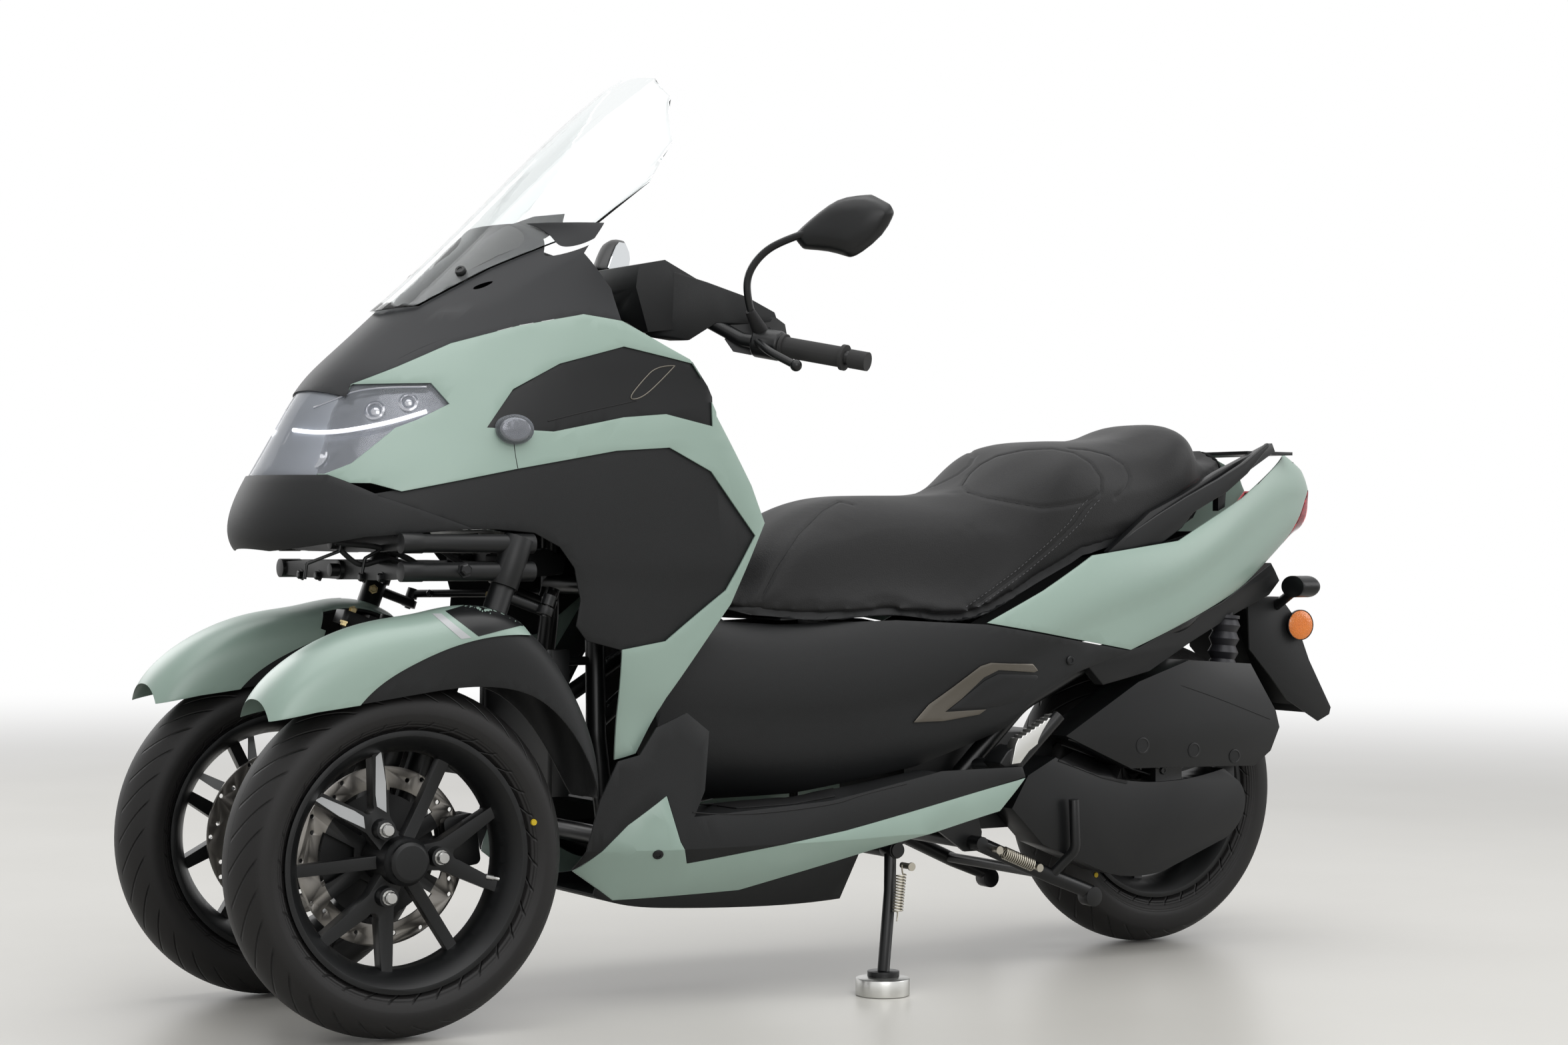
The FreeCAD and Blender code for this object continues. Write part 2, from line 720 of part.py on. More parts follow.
bar_centre = stem_at(1098) + Vector(-8, 0, 0)
bar_points = [bar_centre, bar_centre + Vector(0, 70, 0), point(238, 150, 1092),
              point(196, 215, 1052), point(94, size("bar_end_width"), 1017)]
half_bar = pipe(bar_points, size("bar_radius"), 40)
stem_foot = stem_at(size("stem_foot_height"))
stem = rod(stem_foot - axis_up * 8, stem_at(1090), size("stem_radius"))
stem_tip = stem_foot - level * steer_arm
stem = stem.fuse([arm_with_eye(stem_foot, stem_tip, side, side * pin_offset) for side in (1, -1)])
clamp = Part.makeBox(50, 60, 44, stem_at(1098) + Vector(-33, -30, -22))
clamp = clamp.makeFillet(8, [e for e in clamp.Edges if abs(e.tangentAt(0).y) > 0.9])
bores = [Part.makeCylinder(5.3, 30, stem_tip + Vector(0, side * pin_offset, 0) - axis_up * 15, axis_up)
         for side in (1, -1)]
node("handlebar", solid(half_bar.fuse([mirrored(half_bar), stem, clamp]).cut(Part.makeCompound(bores))))

bar_outer = bar_points[4]
bar_way = (bar_outer - bar_points[3]).normalize()
grip_start = bar_outer - bar_way * (size("grip_length") + 8)
hollow = rod(grip_start - bar_way * 80, bar_outer, size("bar_radius") + 0.05)
grip = rod(grip_start, grip_start + bar_way * size("grip_length"), size("grip_radius"))
for flange in (grip_start, grip_start + bar_way * (size("grip_length") - 6)):
    grip = grip.fuse(rod(flange, flange + bar_way * 6, size("grip_radius") + 4))
weight = rod(bar_outer + bar_way * gap, bar_outer + bar_way * 30, size("grip_radius") - 1.5)
node("grips", pair(together([solid(grip.cut(hollow)), solid(weight)])))

housing = rod(grip_start - bar_way * 48, grip_start - bar_way * gap, 24)
housing = housing.makeFillet(6, [e for e in housing.Edges if e.Closed])
lever = pipe([grip_start - bar_way * 26 + Vector(20, 0, 4), grip_start + bar_way * 20 + Vector(46, 0, -6),
              point(166, 330, 1006)], 6.5, 60)
ball = Part.makeSphere(9.5, point(166, 330, 1006))
node("levers", pair(solid(housing.fuse([lever, ball]).cut(hollow))))

cover_outline = [(352, 1132), (347, 1168), (300, 1178), (240, 1150), (226, 1112), (262, 1070),
                 (330, 1062)]
cover = minus(prism(cover_outline, "-150", "150"), [
    prism(cover_outline, "-150 + panel_thickness", "150 - panel_thickness", -skin),
    pair(solid(pipe(bar_points, size("bar_radius") + gap, 40))),
    block("90", "80", "120", point(280, -40, 1000))])
node("bar_cover", cover)

mirror_stem = pipe([point(200, 257, 1082), point(216, 264, 1110), point(218, 268, 1150),
                    point(168, 330, 1206), point(96, 340, 1222)], 6, 20)
mirror_foot = rod(point(172, 246, 1052), point(204, 259, 1088), 11)
mirror_head = oval_pod(67, 47, 34, 22)
mirror_head.rotate(Vector(), Vector(0, 0, 1), -14)
mirror_head.translate(point(72, 340, 1226))
clamp_room = rod(grip_start - bar_way * 60, grip_start, 24 + gap)
node("mirrors", pair(solid(mirror_stem.fuse([mirror_foot, mirror_head]).cut(clamp_room))))

# Front body: one sculpted hull, split into panels where the real ones meet

front_rows = [
    # height, nose station, roundness, half width, shoulder station, rear station
    (390, 470, 3.0, 207, 380, 340),
    (480, 520, 3.0, 216, 390, 330),
    (570, 640, 3.5, 230, 400, 250),
    (660, 780, 3.5, 236, 410, 205),
    (735, 954, 4.2, 240, 420, 165),
    (800, 940, 4.2, 240, 420, 165),
    (880, 898, 3.0, 236, 415, 215),
    (960, 852, 2.3, 229, 400, 262),
    (1020, 795, 2.1, 227, 370, 300),
    (1080, 728, 2.0, 216, 390, 360),
    (1140, 655, 1.8, 208, 415, 395),
    (1224, 562, 1.6, 199, 425, 410),
]


def front_slice(row, inset):
    z, nose, roundness, half, shoulder, rear = row
    nose_x, shoulder_x, back_x = at(nose) - inset, at(shoulder), at(rear) - 2 * inset
    width = half - inset
    quarter = []
    for step in range(7):
        turn = math.radians(90 * step / 6)
        along = math.cos(turn) ** (2 / roundness) if step < 6 else 0.0
        quarter.append(Vector(shoulder_x + (nose_x - shoulder_x) * along, width * math.sin(turn), z))
    quarter.append(Vector(back_x, width - 2, z))
    line = [Vector(p.x, -p.y, p.z) for p in reversed(quarter[1:])] + quarter
    spline = Part.BSplineCurve()
    spline.interpolate(line)
    return Part.Wire([spline.toShape(), Part.LineSegment(line[-1], line[0]).toShape()])


def front_hull(inset):
    return hull(front_rows, front_slice, inset)


sunk = skin + size("panel_step")
front_solid = front_hull(0.0)
front_shell = minus(front_solid, [front_hull(skin)])
sunk_shell = minus(front_hull(sunk), [front_hull(sunk + skin)])

cowl_outline = [(960, 962), (852, 958), (822, 946), (812, 966), (752, 993), (675, 1030),
                (578, 1059), (476, 1080), (415, 1072), (428, 1121), (470, 1175), (435, 1224),
                (600, 1224), (960, 1224)]
lamp_outline = [(960, 884), (960, 960), (851, 957), (822, 945), (811, 965), (714, 967), (694, 936),
                (740, 912), (772, 899), (838, 845), (872, 829), (960, 829)]
beak_outline = [(960, 828), (870, 827), (812, 797), (672, 748), (831, 735), (931, 713), (960, 720)]
vent_outline = [(643, 901), (597, 960), (521, 1001), (414, 1031), (292, 1009), (258, 963),
                (258, 912), (342, 929), (417, 922), (538, 897)]
side_outline = [(812, 796), (672, 748), (634, 748), (573, 743), (530, 722), (505, 690), (492, 640),
                (497, 600), (478, 578), (417, 563), (338, 575), (232, 654), (182, 740), (262, 840),
                (337, 876), (433, 869), (599, 839)]
fairing_outline = [(880, 900), (820, 940), (812, 975), (752, 1015), (675, 1052), (578, 1081), (476, 1102), (440, 1090),
                   (415, 1072), (337, 1034), (252, 996), (250, 928), (189, 819), (165, 760), (223, 632),
                   (330, 486), (380, 400), (414, 391), (417, 580), (470, 600), (470, 700), (560, 760),
                   (672, 770), (820, 815), (880, 815)]

screen_rows = [(1080, 741, 0.0044), (1213, 592, 0.0038), (1340, 462, 0.0034), (1490, 290, 0.0030)]


def screen_form(front, back):
    """A sheet bowed about the rider, between two depths measured back from its face."""
    wires = []
    for z, middle, bow in screen_rows:
        face = [Vector(at(middle) - bow * y * y, y, z) for y in range(-210, 211, 70)]
        runs = [[p - Vector(front, 0, 0) for p in face], [p - Vector(back, 0, 0) for p in reversed(face)]]
        edges = []
        for run in runs:
            spline = Part.BSplineCurve()
            spline.interpolate(run)
            edges.append(spline.toShape())
        edges.insert(1, Part.LineSegment(runs[0][-1], runs[1][0]).toShape())
        edges.append(Part.LineSegment(runs[1][-1], runs[0][0]).toShape())
        wires.append(Part.Wire(edges))
    return loft(wires)


screen_half = [(0, 1086), (80, 1090), (122, 1150), (186, 1214), (203, 1291), (192, 1360),
               (140, 1440), (80, 1478), (0, 1488)]
screen_ring = [Vector(-2000, y, z) for y, z in
               screen_half + [(-y, z) for y, z in reversed(screen_half[1:-1])]]
screen_front = solid(Part.Face(Part.makePolygon(screen_ring + screen_ring[:1])).extrude(
    Vector(4000, 0, 0)))
screen_depth = size("screen_thickness") * 1.4
screen_room = screen_form(-0.5, screen_depth + 0.5)
node("windscreen", common(screen_form(0.0, screen_depth), screen_front))

node("upper_cowl", minus(common(front_shell, prism(cowl_outline)),
                         [screen_room, prism(lamp_outline, grow=seam / 2)]))
node("beak", minus(common(front_shell, prism(beak_outline)),
                   [prism(lamp_outline, grow=seam / 2), prism(side_outline, grow=seam / 2)]))
overlap = size("panel_overlap")
node("headlamp", common(sunk_shell, prism(lamp_outline, grow=overlap)))
node("vent_panels", common(sunk_shell, prism(vent_outline, grow=overlap)))
lower_edge = prism([(960, 700), (672, 747.5), (634, 747), (573, 742), (530, 721), (504, 689), (491, 640),
                    (496, 600), (477, 577), (417, 562), (417, 500), (960, 500)])
node("side_panels", minus(common(sunk_shell, prism(side_outline, grow=overlap)), [lower_edge]))
fairing = common(front_shell, prism(fairing_outline))
node("side_fairings", minus(fairing, [prism(outline, grow=seam / 2) for outline in (
    cowl_outline, lamp_outline, beak_outline, vent_outline, side_outline)]))

indicator = oval_pod(29, 23, 26, 9)
indicator.rotate(Vector(), Vector(0, 0, 1), 80)
indicator.translate(point(602, 218, 898))
lamp_seat = common(front_hull(-gap), block("300", "600", "161", point(500, -300, 740)))
front_lamp = minus(solid(indicator), [front_hull(sunk - gap), lamp_seat])

meter_outline = [(430, 1108), (416, 1150), (432, 1178), (500, 1196), (560, 1160), (560, 1090),
                 (470, 1080)]
node("meter_housing", prism(meter_outline, "-62", "62"))

shield_line = [(402, 1070), (318, 1022), (262, 930), (196, 812), (178, 744), (230, 640),
               (300, 540), (336, 476), (322, 400), (300, 330), (293, 301)]
tunnel_mouth = block("220", "236", "330", point(200, -118, 295))
shield = prism(shield_line + [(x + 8, z) for x, z in reversed(shield_line)], "-236", "236")
shield = common(shield, union([front_hull(sunk + skin + gap), block("200", "384", "160",
                                                                 point(250, -192, 303))]))
node("leg_shield", minus(shield, [solid(rod(stem_at(600), stem_at(1120), 40)), tunnel_mouth]))

# Lower body: one hull with the floor, the black side walls, the painted blades and the pan

low_rows = [
    # station, bottom height, half width at the bottom, at the crease, at the top
    (468, 205, 148, 196, 208),
    (400, 165, 165, 217, 216),
    (300, 150, 172, 246, 224),
    (185, 144, 176, 251, 228),
    (0, 144, 178, 253, 232),
    (-160, 166, 174, 247, 231),
    (-300, 226, 166, 237, 228),
    (-362, 292, 162, 231, 224),
]
crease_height = 250.0
low_top = 500.0


def low_slice(row, inset):
    station, bottom, half_low, half_crease, half_top = row
    floor_z = bottom + inset
    half = [(half_low - inset, floor_z), (half_crease - inset, max(crease_height, floor_z + 20)),
            (half_top - inset, low_top)]
    ring_points = [Vector(at(station), y, z) for y, z in half + [(-y, z) for y, z in reversed(half)]]
    return Part.makePolygon(ring_points + ring_points[:1])


def low_hull(inset):
    return hull(low_rows, low_slice, inset)


low_shell = minus(low_hull(0.0), [low_hull(skin)])
blade_outline = [(466, 217), (398, 290), (338, 334), (318, 262), (299, 226), (18, 265), (-359, 333),
                 (-302, 280), (-47, 230), (185, 174), (398, 168)]
blade_cut = prism(blade_outline, grow=seam / 2)
sides_only = union([block("1200", "200", "600", point(-500, y, 0)) for y in (160, -360)])
node("lower_blades", common(common(low_shell, prism(blade_outline)), sides_only))
wall_outline = [(467, 219), (440, 330), (414, 389), (380, 398), (352, 440), (300, 462), (262, 432),
                (274, 340), (294, 300), (42, 314), (-181, 352), (-352, 352), (-359, 335), (18, 262),
                (299, 222), (398, 285)]
floor_slab = prism([(290, 297), (42, 309), (-181, 347), (-200, 347), (-200, 340), (42, 302),
                    (290, 290)], "100", "245")
floor_slab = common(floor_slab, low_hull(skin / 2))
floor_side = minus(common(common(low_shell, prism(wall_outline)), sides_only), [blade_cut])
pan_outline = [(428, 120), (428, 189), (398, 200), (185, 200), (-20, 240), (-20, 120)]
node("belly_pan", minus(common(low_shell, prism(pan_outline)), [blade_cut]))

# Tunnel, side covers and tail: one hull of rounded sections along the body

rear_rows = [
    # station, low height, high height, half width, squareness
    (300, 300, 600, 118, 3.0),
    (230, 300, 616, 128, 3.0),
    (73, 290, 612, 156, 3.2),
    (-149, 300, 640, 178, 3.4),
    (-304, 350, 670, 198, 3.6),
    (-535, 440, 760, 206, 3.4),
    (-728, 520, 800, 196, 3.2),
    (-918, 610, 900, 160, 3.0),
    (-1049, 700, 930, 122, 2.8),
    (-1125, 745, 890, 88, 2.6),
]


def rear_slice(row, inset):
    station, low, high, half, power = row
    middle = (low + high) / 2
    rise = (high - low) / 2 - inset
    ring_points = []
    for step in range(16):
        turn = 2 * math.pi * step / 16
        c, s = math.cos(turn), math.sin(turn)
        ring_points.append(Vector(at(station), (half - inset) * math.copysign(abs(c) ** (2 / power), c),
                                  middle + rise * math.copysign(abs(s) ** (2 / power), s)))
    spline = Part.BSplineCurve()
    spline.interpolate(ring_points, PeriodicFlag=True)
    return Part.Wire([spline.toShape()])


def rear_hull(inset):
    return hull(rear_rows, rear_slice, inset)


rear_solid = rear_hull(0.0)
rear_shell = minus(rear_solid, [rear_hull(skin)])
floor_slab = minus(floor_slab, [rear_hull(-gap)])
node("floorboards", pair(union([common(floor_side, block("1200", "400", "600", point(-500, 0, 0))),
                                floor_slab])))
seat_line = [(154, 622), (60, 598), (-149, 604), (-304, 596), (-420, 650), (-535, 711),
             (-728, 737), (-900, 815), (-940, 850)]
cover_outline = [(296, 318), (296, 520), (240, 600), (238, 640), (160, 640), (150, 600), (60, 594), (-149, 600), (-304, 592), (-614, 542), (-468, 500),
                 (-409, 470), (-352, 414), (-181, 354), (42, 316), (180, 309)]
tail_outline = [(-304, 594), (-420, 648), (-535, 709), (-728, 735), (-900, 813), (-1049, 896),
                (-1106, 868), (-1122, 831), (-1061, 731), (-918, 649), (-614, 543)]
tail_lamp_outline = [(-1122, 831), (-1061, 731), (-1160, 700), (-1160, 831)]
hinge_slot = block("56", "104", "60", point(122, -52, 596))
node("side_covers", minus(common(rear_shell, prism(cover_outline, grow=-seam / 2)), [hinge_slot]))
node("rear_covers", common(rear_shell, prism(tail_outline, grow=-seam / 2)))
node("tail_lamp", common(rear_solid, prism(tail_lamp_outline, grow=-seam / 2)))

# Seat: crowned sections along a two-level cushion, on a stiff tray that holds its hinge

seat_rows = [
    # station, base height, top height, half width at the base, half width above it; the waist
    # lets the grips pass beside the raised seat at full lock
    (152, 630, 648, 84, 84),
    (90, 616, 712, 114, 110),
    (20, 610, 764, 133, 120),
    (-60, 612, 796, 143, 123),
    (-160, 616, 806, 150, 127),
    (-270, 606, 808, 154, 131),
    (-340, 620, 818, 158, 139),
    (-410, 656, 858, 165, 157),
    (-480, 690, 898, 168, 168),
    (-560, 722, 908, 165, 165),
    (-700, 742, 922, 150, 150),
    (-830, 796, 926, 122, 122),
    (-915, 840, 918, 90, 90),
]


def seat_slice(row):
    station, base, top, foot, half = row
    crown = min(46.0, (top - base) * 0.45)
    shoulder, ridge = (0.87, 0.59) if -420 < station < -40 else (0.93, 0.62)
    quarter = [(foot, base), (half + 2, base + (top - base) * 0.3), (half * shoulder, top - crown * 0.8),
               (half * ridge, top - crown * 0.18)]
    line = quarter + [(0, top)] + [(-y, z) for y, z in reversed(quarter)]
    points = [Vector(at(station), y, z) for y, z in line]
    spline = Part.BSplineCurve()
    spline.interpolate(points)
    return Part.Wire([spline.toShape(), Part.LineSegment(points[-1], points[0]).toShape()])


cushion = loft([seat_slice(row) for row in seat_rows])
lift = size("seat_gap")
under_seat = prism([(x, z + lift) for x, z in seat_line] + [(-940, 560), (200, 560), (200, 622)])
node("seat", minus(cushion, [under_seat]))
tray_line = [(60, 598), (-149, 604), (-304, 596), (-420, 650), (-535, 711), (-728, 737), (-800, 768.5)]
tray_high = [(x, z + lift - gap) for x, z in tray_line]
tray_low = [(x, z + lift - gap - 3) for x, z in reversed(tray_line)]
hinge = Vector(at(size("seat_hinge_station")), 0, size("seat_hinge_height"))
hinge_arm = prism([(40, 604.5), (60, 603.7), (100, 611), (148, 624), (156, 618), (150, 611), (104, 603),
                   (60, 600.7), (40, 601.4)], "-28", "28")
barrel = solid(rod(hinge + Vector(0, -32, 0), hinge + Vector(0, 32, 0), 7))
hinge_bore = solid(rod(hinge + Vector(0, -40, 0), hinge + Vector(0, 40, 0), 4 + gap))
tray = prism(tray_high + tray_low, "-storage_half_width + 12", "storage_half_width - 12")
node("seat_base", minus(union([tray, hinge_arm, barrel]), [hinge_bore]))

box_outer = [(-130, 592), (-130, 446), (-330, 446), (-380, 536), (-640, 566), (-820, 650),
             (-820, 752), (-728, 728), (-535, 702), (-420, 641), (-304, 586)]
box_inner = [(-133, 800), (-133, 449), (-328, 449), (-378, 539), (-640, 569), (-817, 652), (-817, 800)]
node("storage_box", minus(prism(box_outer, "-storage_half_width", "storage_half_width"), [
    prism(box_inner, "-storage_half_width + storage_wall", "storage_half_width - storage_wall")]))

# Grab rails with the carrier plate between their tips

rail_outline = [(-576, 715), (-618, 744), (-675, 785), (-755, 817), (-843, 859), (-982, 914), (-990, 899),
                (-912, 857), (-865, 835), (-861, 796), (-844, 788.5), (-844, 829), (-801, 816),
                (-779, 781), (-755, 770), (-703, 725), (-638, 708)]
plate_x = at(-992)
plate_top = 899.0
plate = block("110", "2 * 138", "rack_plate_thickness",
              Vector(plate_x - 48, -138, plate_top - size("rack_plate_thickness")))
holes = []
for dx in (-0.5, 0.5):
    for dy in (-0.5, 0.5):
        spot = Vector(plate_x + dx * size("rack_spacing_length"), dy * size("rack_spacing_width"),
                      plate_top - 20)
        holes.append(cylinder("rack_hole_radius", "40", spot, Vector(0, 0, 1)))
rail = prism(rail_outline, "166", "180")
rail_nose = point(-576, 180, 0)
rail_turn = Rotation(Vector(0, 0, 1), 4.5)
rail.Placement = Placement(rail_nose - rail_turn.multVec(rail_nose), rail_turn)
node("grab_rails", minus(union([rail, mirror_of(rail), plate]), holes))

# Rear fender: a trough behind the tyre, hung from the tail bar, with the rear indicators beside it

trough_outer = [(-980, 615), (-1006, 629), (-1059, 631), (-1095, 593), (-1132, 511), (-1187, 421),
                (-1183, 408), (-1155, 396), (-1078, 438), (-1033, 486), (-984, 534)]
trough_inner = [(-940, 560), (-983, 612), (-1006, 626), (-1058, 628), (-1092, 591.5), (-1129, 510),
                (-1183, 421), (-1181, 380), (-1060, 380), (-940, 500)]
trough = minus(prism(trough_outer, "-85", "85"), [prism(trough_inner, "-82", "82")])
hanger = prism([(-964.3, 684), (-964.3, 655), (-985, 613), (-1006, 627), (-1000, 684)], "-40", "40")
node("rear_fender", union([trough, hanger]))
pod = oval_pod(30, 20, 48, 12)
pod.rotate(Vector(), Vector(0, 0, 1), 180)
pod.translate(point(-1030, 150, 651))
pod = pod.fuse(rod(point(-1052, 78, 612), point(-1052, 140, 648), 9))
rear_lamp = minus(solid(pod), [block("200", "200", "200", point(-1150, 85.3 - 200, 550))])
node("indicators", together([pair(front_lamp), pair(rear_lamp)]))

# Frame: head tube, two cradle tubes that run on as seat rails, upper tubes and small stays

tube = size("frame_tube_radius")
slim = size("upper_tube_radius")
rail_y = size("rail_offset")
head_low = size("head_tube_bottom")
head_tube = rod(stem_at(head_low), stem_at(size("head_tube_top")), size("stem_radius") + size("stem_wall"))
cradle = pipe([point(412, 30, 900), point(385, 75, 700), point(385, 80, 600), point(395, 105, 420),
               point(380, 115, 260), point(300, 120, 215), point(-180, 120, 235), point(-290, 130, 330),
               point(-400, rail_y, 455), point(-560, rail_y, 530), point(-760, rail_y, 590),
               point(-950, 84, 680)], tube, 90)
upper = pipe([point(395, 100, 440), point(250, 70, 540), point(150, 60, 578), point(-60, 105, 572),
              point(-130, 152, 558), point(-392, 158, 458)], slim, 60)
side_pieces = [cradle, upper,
               rod(point(-235, 122, 282), point(-235, 100.3, 282), 9),
               rod(point(-310, 136, 352), point(-349, 212, 350), 12),
               rod(point(-349, 212, 350), point(-429, 232, 437), 11),
               rod(point(-638, 166, 552), point(-638, 166, 707.5), 9),
               rod(point(395, 105, 420), point(455.7, 105, 420), 7),
               rod(point(388, 88, 540), point(455.7, 88, 540), 7),
               rod(point(200, 125, 219), point(200, 125, 293.7), 8),
               rod(point(-120, 124, 233), point(-120, 124, 326.6), 8),
               rod(point(394, 18, 985), point(471.8, 40.5, 1076.4), 8),
               Part.makeBox(24, rail_y - size("storage_half_width") - gap, 54,
                            point(-636, size("storage_half_width") + gap, 545)),
               Part.makeBox(18, 8, 50, point(141, 32 + gap, 574)),
               rod(hinge, hinge + Vector(0, 40, 0), 4)]
lug = Part.Face(Part.makePolygon([point(x, 112, z) for x, z in (
    (-225, 262), (-312, 352), (-350, 232), (-346, 200), (-314, 200), (-225, 262))])).extrude(Vector(0, 7, 0))
side_pieces.append(lug)
pivot = point(-99, 0, size("stand_pivot_height"))
middle_pieces = [
    head_tube,
    Part.makeBox(bracket_front - 492, 56, 76, point(492, -28, 666)),
    rod(point(380, -115, 260), point(380, 115, 260), tube),
    rod(point(385, -77, 660), point(385, 77, 660), tube),
    rod(point(-180, -120, 235), point(-180, 120, 235), tube),
    rod(point(150, -60, 578), point(150, 60, 578), 10),
    rod(point(-950, -84, 680), point(-950, 84, 680), slim),
    rod(pivot + Vector(0, 112, 0), pivot + Vector(0, 228.3, 0), size("stand_pin_radius")),
    rod(pivot + Vector(0, 112, 0), pivot + Vector(0, 195.7, 0), size("stand_pin_radius") + 6),
    rod(pivot + Vector(0, 228.3, 0), pivot + Vector(0, 232, 0), size("stand_pin_radius") + 4),
]
whole = middle_pieces[0].fuse(middle_pieces[1:] + side_pieces + [mirrored(p) for p in side_pieces])
hoop = pipe([point(441, 15, 820), point(540, 62, 800), point(700, 74, 772), point(945, 55, 762)], 12, 80)
panel_stay = rod(point(385, 75, 700), point(385, 250, 700), 9)
cover_stay = rod(point(-60, 105, 572), point(-60, 210, 572), 8)
tail_stay = rod(point(-660, rail_y, 559), point(-660, 240, 600), 8)
pan_stay = rod(point(200, 120, 219), point(200, 120, 120), 8)
stays = union([common(pair(solid(hoop)), front_hull(skin + gap)),
               common(pair(solid(panel_stay)), front_hull(sunk + skin + gap)),
               common(union([pair(solid(cover_stay)), pair(solid(tail_stay))]), rear_hull(skin + gap)),
               common(pair(solid(pan_stay)), low_hull(skin + gap))])
bores = [solid(rod(stem_at(600), stem_at(1060), size("stem_radius") + gap)),
         solid(rod(point(-330, -160, size("centre_pivot_height")),
                   point(-330, 160, size("centre_pivot_height")), 12 + gap))]
node("main_frame", minus(union([solid(whole), stays]), bores))

# Drive unit: closed engine block with its right arm, belt cover and air box on the left

case = block("315", "200", "165", point(-515, -100, 235))
arm_outline = [(-500, 380), (-500, 250), (-760, 240), (-830, 246), (-846, 290), (-905, 324), (-905, 352),
               (-872, 356), (-790, 330), (-700, 344)]
rear_hub = Vector(rear_axle, 0, rear_radius)
shock_y = size("shock_offset")
shock_foot = point(-880, 0, 338)
disc_side = -(size("hub_half_width") + size("disc_thickness"))
axle_pieces = rod(rear_hub + Vector(0, -92, 0), rear_hub + Vector(0, size("hub_half_width") - 10, 0),
                  size("axle_radius"))
axle_pieces = axle_pieces.fuse([
    rod(rear_hub + Vector(0, -92, 0), rear_hub + Vector(0, disc_side - gap, 0), 18),
    rod(shock_foot + Vector(0, -92, 0), shock_foot + Vector(0, -shock_y - 14, 0), 7),
    caliper(rear_hub, disc_side + size("disc_thickness") / 2, 150),
    rod(point(-690, -85, 338), point(-690, -64, 338), 12)])
node("engine", union([case, prism(arm_outline, "-92", "-80"), solid(axle_pieces)]))

belt_outline = [[(-471, 359), (-639, 311), (-851, 325)], [(-888, 300), (-902, 257), (-894, 235),
                (-843, 195)], [(-717, 150), (-650, 143), (-587, 152)], (-444, 210), (-378, 275), (-412, 330)]
air_outline = [(-486, 396), (-646, 486), (-761, 522), (-905, 513), (-966, 426), (-975, 396), (-954, 354),
               (-915, 328), (-712, 333), (-630, 334)]
belt_case = prism(belt_outline, "100 + running_gap", "168")
hub_boss = solid(rod(rear_hub + Vector(0, size("hub_half_width") + size("hub_cap_depth") + gap, 0),
                     rear_hub + Vector(0, 110, 0), 30))
shock_lug = prism([(-850, 300), (-864, 352), (-896, 350), (-900, 262)], "129.6", "143")
shock_bolt = solid(rod(shock_foot + Vector(0, shock_y - 14, 0), shock_foot + Vector(0, 136, 0), 7))
air_box = minus(prism(air_outline, "100 + running_gap", "178"), [block("140", "57", "240", point(-980, 89, 310))])
air_foot = block("60", "40", "40", point(-760, 120, 302))
node("drive_cover", union([belt_case, hub_boss, shock_lug, shock_bolt, air_box, air_foot]))

exhaust = pipe([point(-420, -100.3, 296), point(-420, -150, 296), point(-520, -190, 262),
                point(-640, -208, 268)], 18, 50)
can_start = point(-620, -208, 266)
can_way = (point(-1085, -208, 352) - can_start).normalize()
can = rod(can_start + can_way * 24, can_start + can_way * 448, 58)
can = can.fuse([Part.makeCone(30, 58, 24, can_start, can_way),
                Part.makeCone(58, 40, 22, can_start + can_way * 448, can_way),
                rod(point(-745, -92.3, 300), point(-745, -165, 300), 9)])
node("muffler", solid(exhaust.fuse(can)))


def shock(side):
    """Damper, spring and both eyes; the spring is turned with one ridge for each coil."""
    low = shock_foot + Vector(0, side * shock_y, 0)
    high = point(-905, side * shock_y, 627.2)
    way = (high - low).normalize()
    length = (high - low).Length
    eye = Part.makeCylinder(14, 28, low - Vector(0, 14, 0), Vector(0, 1, 0))
    top = Part.makeCylinder(12, 28, high - Vector(0, 14, 0), Vector(0, 1, 0))
    coil = size("spring_radius")
    start, end, turns = 58.0, length - 34, 8
    pitch = (end - start) / turns
    line = [(0, start - 8), (coil - 2, start - 8), (coil - 2, start)]
    for number in range(turns):
        line += [(coil - 6, start + pitch * number), (coil, start + pitch * (number + 0.5)),
                 (coil - 6, start + pitch * (number + 1))]
    line += [(coil - 2, end), (coil - 2, end + 6), (0, end + 6)]
    seen = [line[0]] + [b for a, b in zip(line, line[1:]) if a != b]
    face = Part.Face(Part.makePolygon([Vector(r, 0, h) for r, h in seen + seen[:1]]))
    spring = face.revolve(Vector(), Vector(0, 0, 1), 360)
    spring.Placement = Placement(low, Rotation(Vector(0, 0, 1), way))
    body = spring.fuse([rod(low, low + way * 52, size("shock_radius")),
                        rod(high - way * 34, high, size("shock_radius") - 4), eye, top])
    return body.cut(rod(low - Vector(0, 30, 0), low + Vector(0, 30, 0), 7 + gap))


node("rear_shocks", together([solid(shock(side)) for side in (-1, 1)]))

# Stands: the side stand is down on its puck, the centre stand is folded up

pivot_left = pivot + Vector(0, 212, 0)
foot = point(-50, 262, size("puck_height") + gap)
stand = rod(pivot + Vector(0, 196, 0), pivot + Vector(0, 228, 0), size("stand_barrel_radius"))
leg = pipe([pivot_left + Vector(4, 2, -8), pivot_left + Vector(18, 22, -66), foot + Vector(0, 0, 6)], 10, 90)
stand = stand.fuse([leg, Part.makeCylinder(26, 8, foot)])
stand = stand.cut(rod(pivot + Vector(0, 190, 0), pivot + Vector(0, 240, 0), size("stand_pin_radius") + gap))
node("side_stand", solid(stand))
puck = cylinder("puck_radius", "puck_height", point(-40, 275, 0), Vector(0, 0, 1))
node("stand_puck", puck)

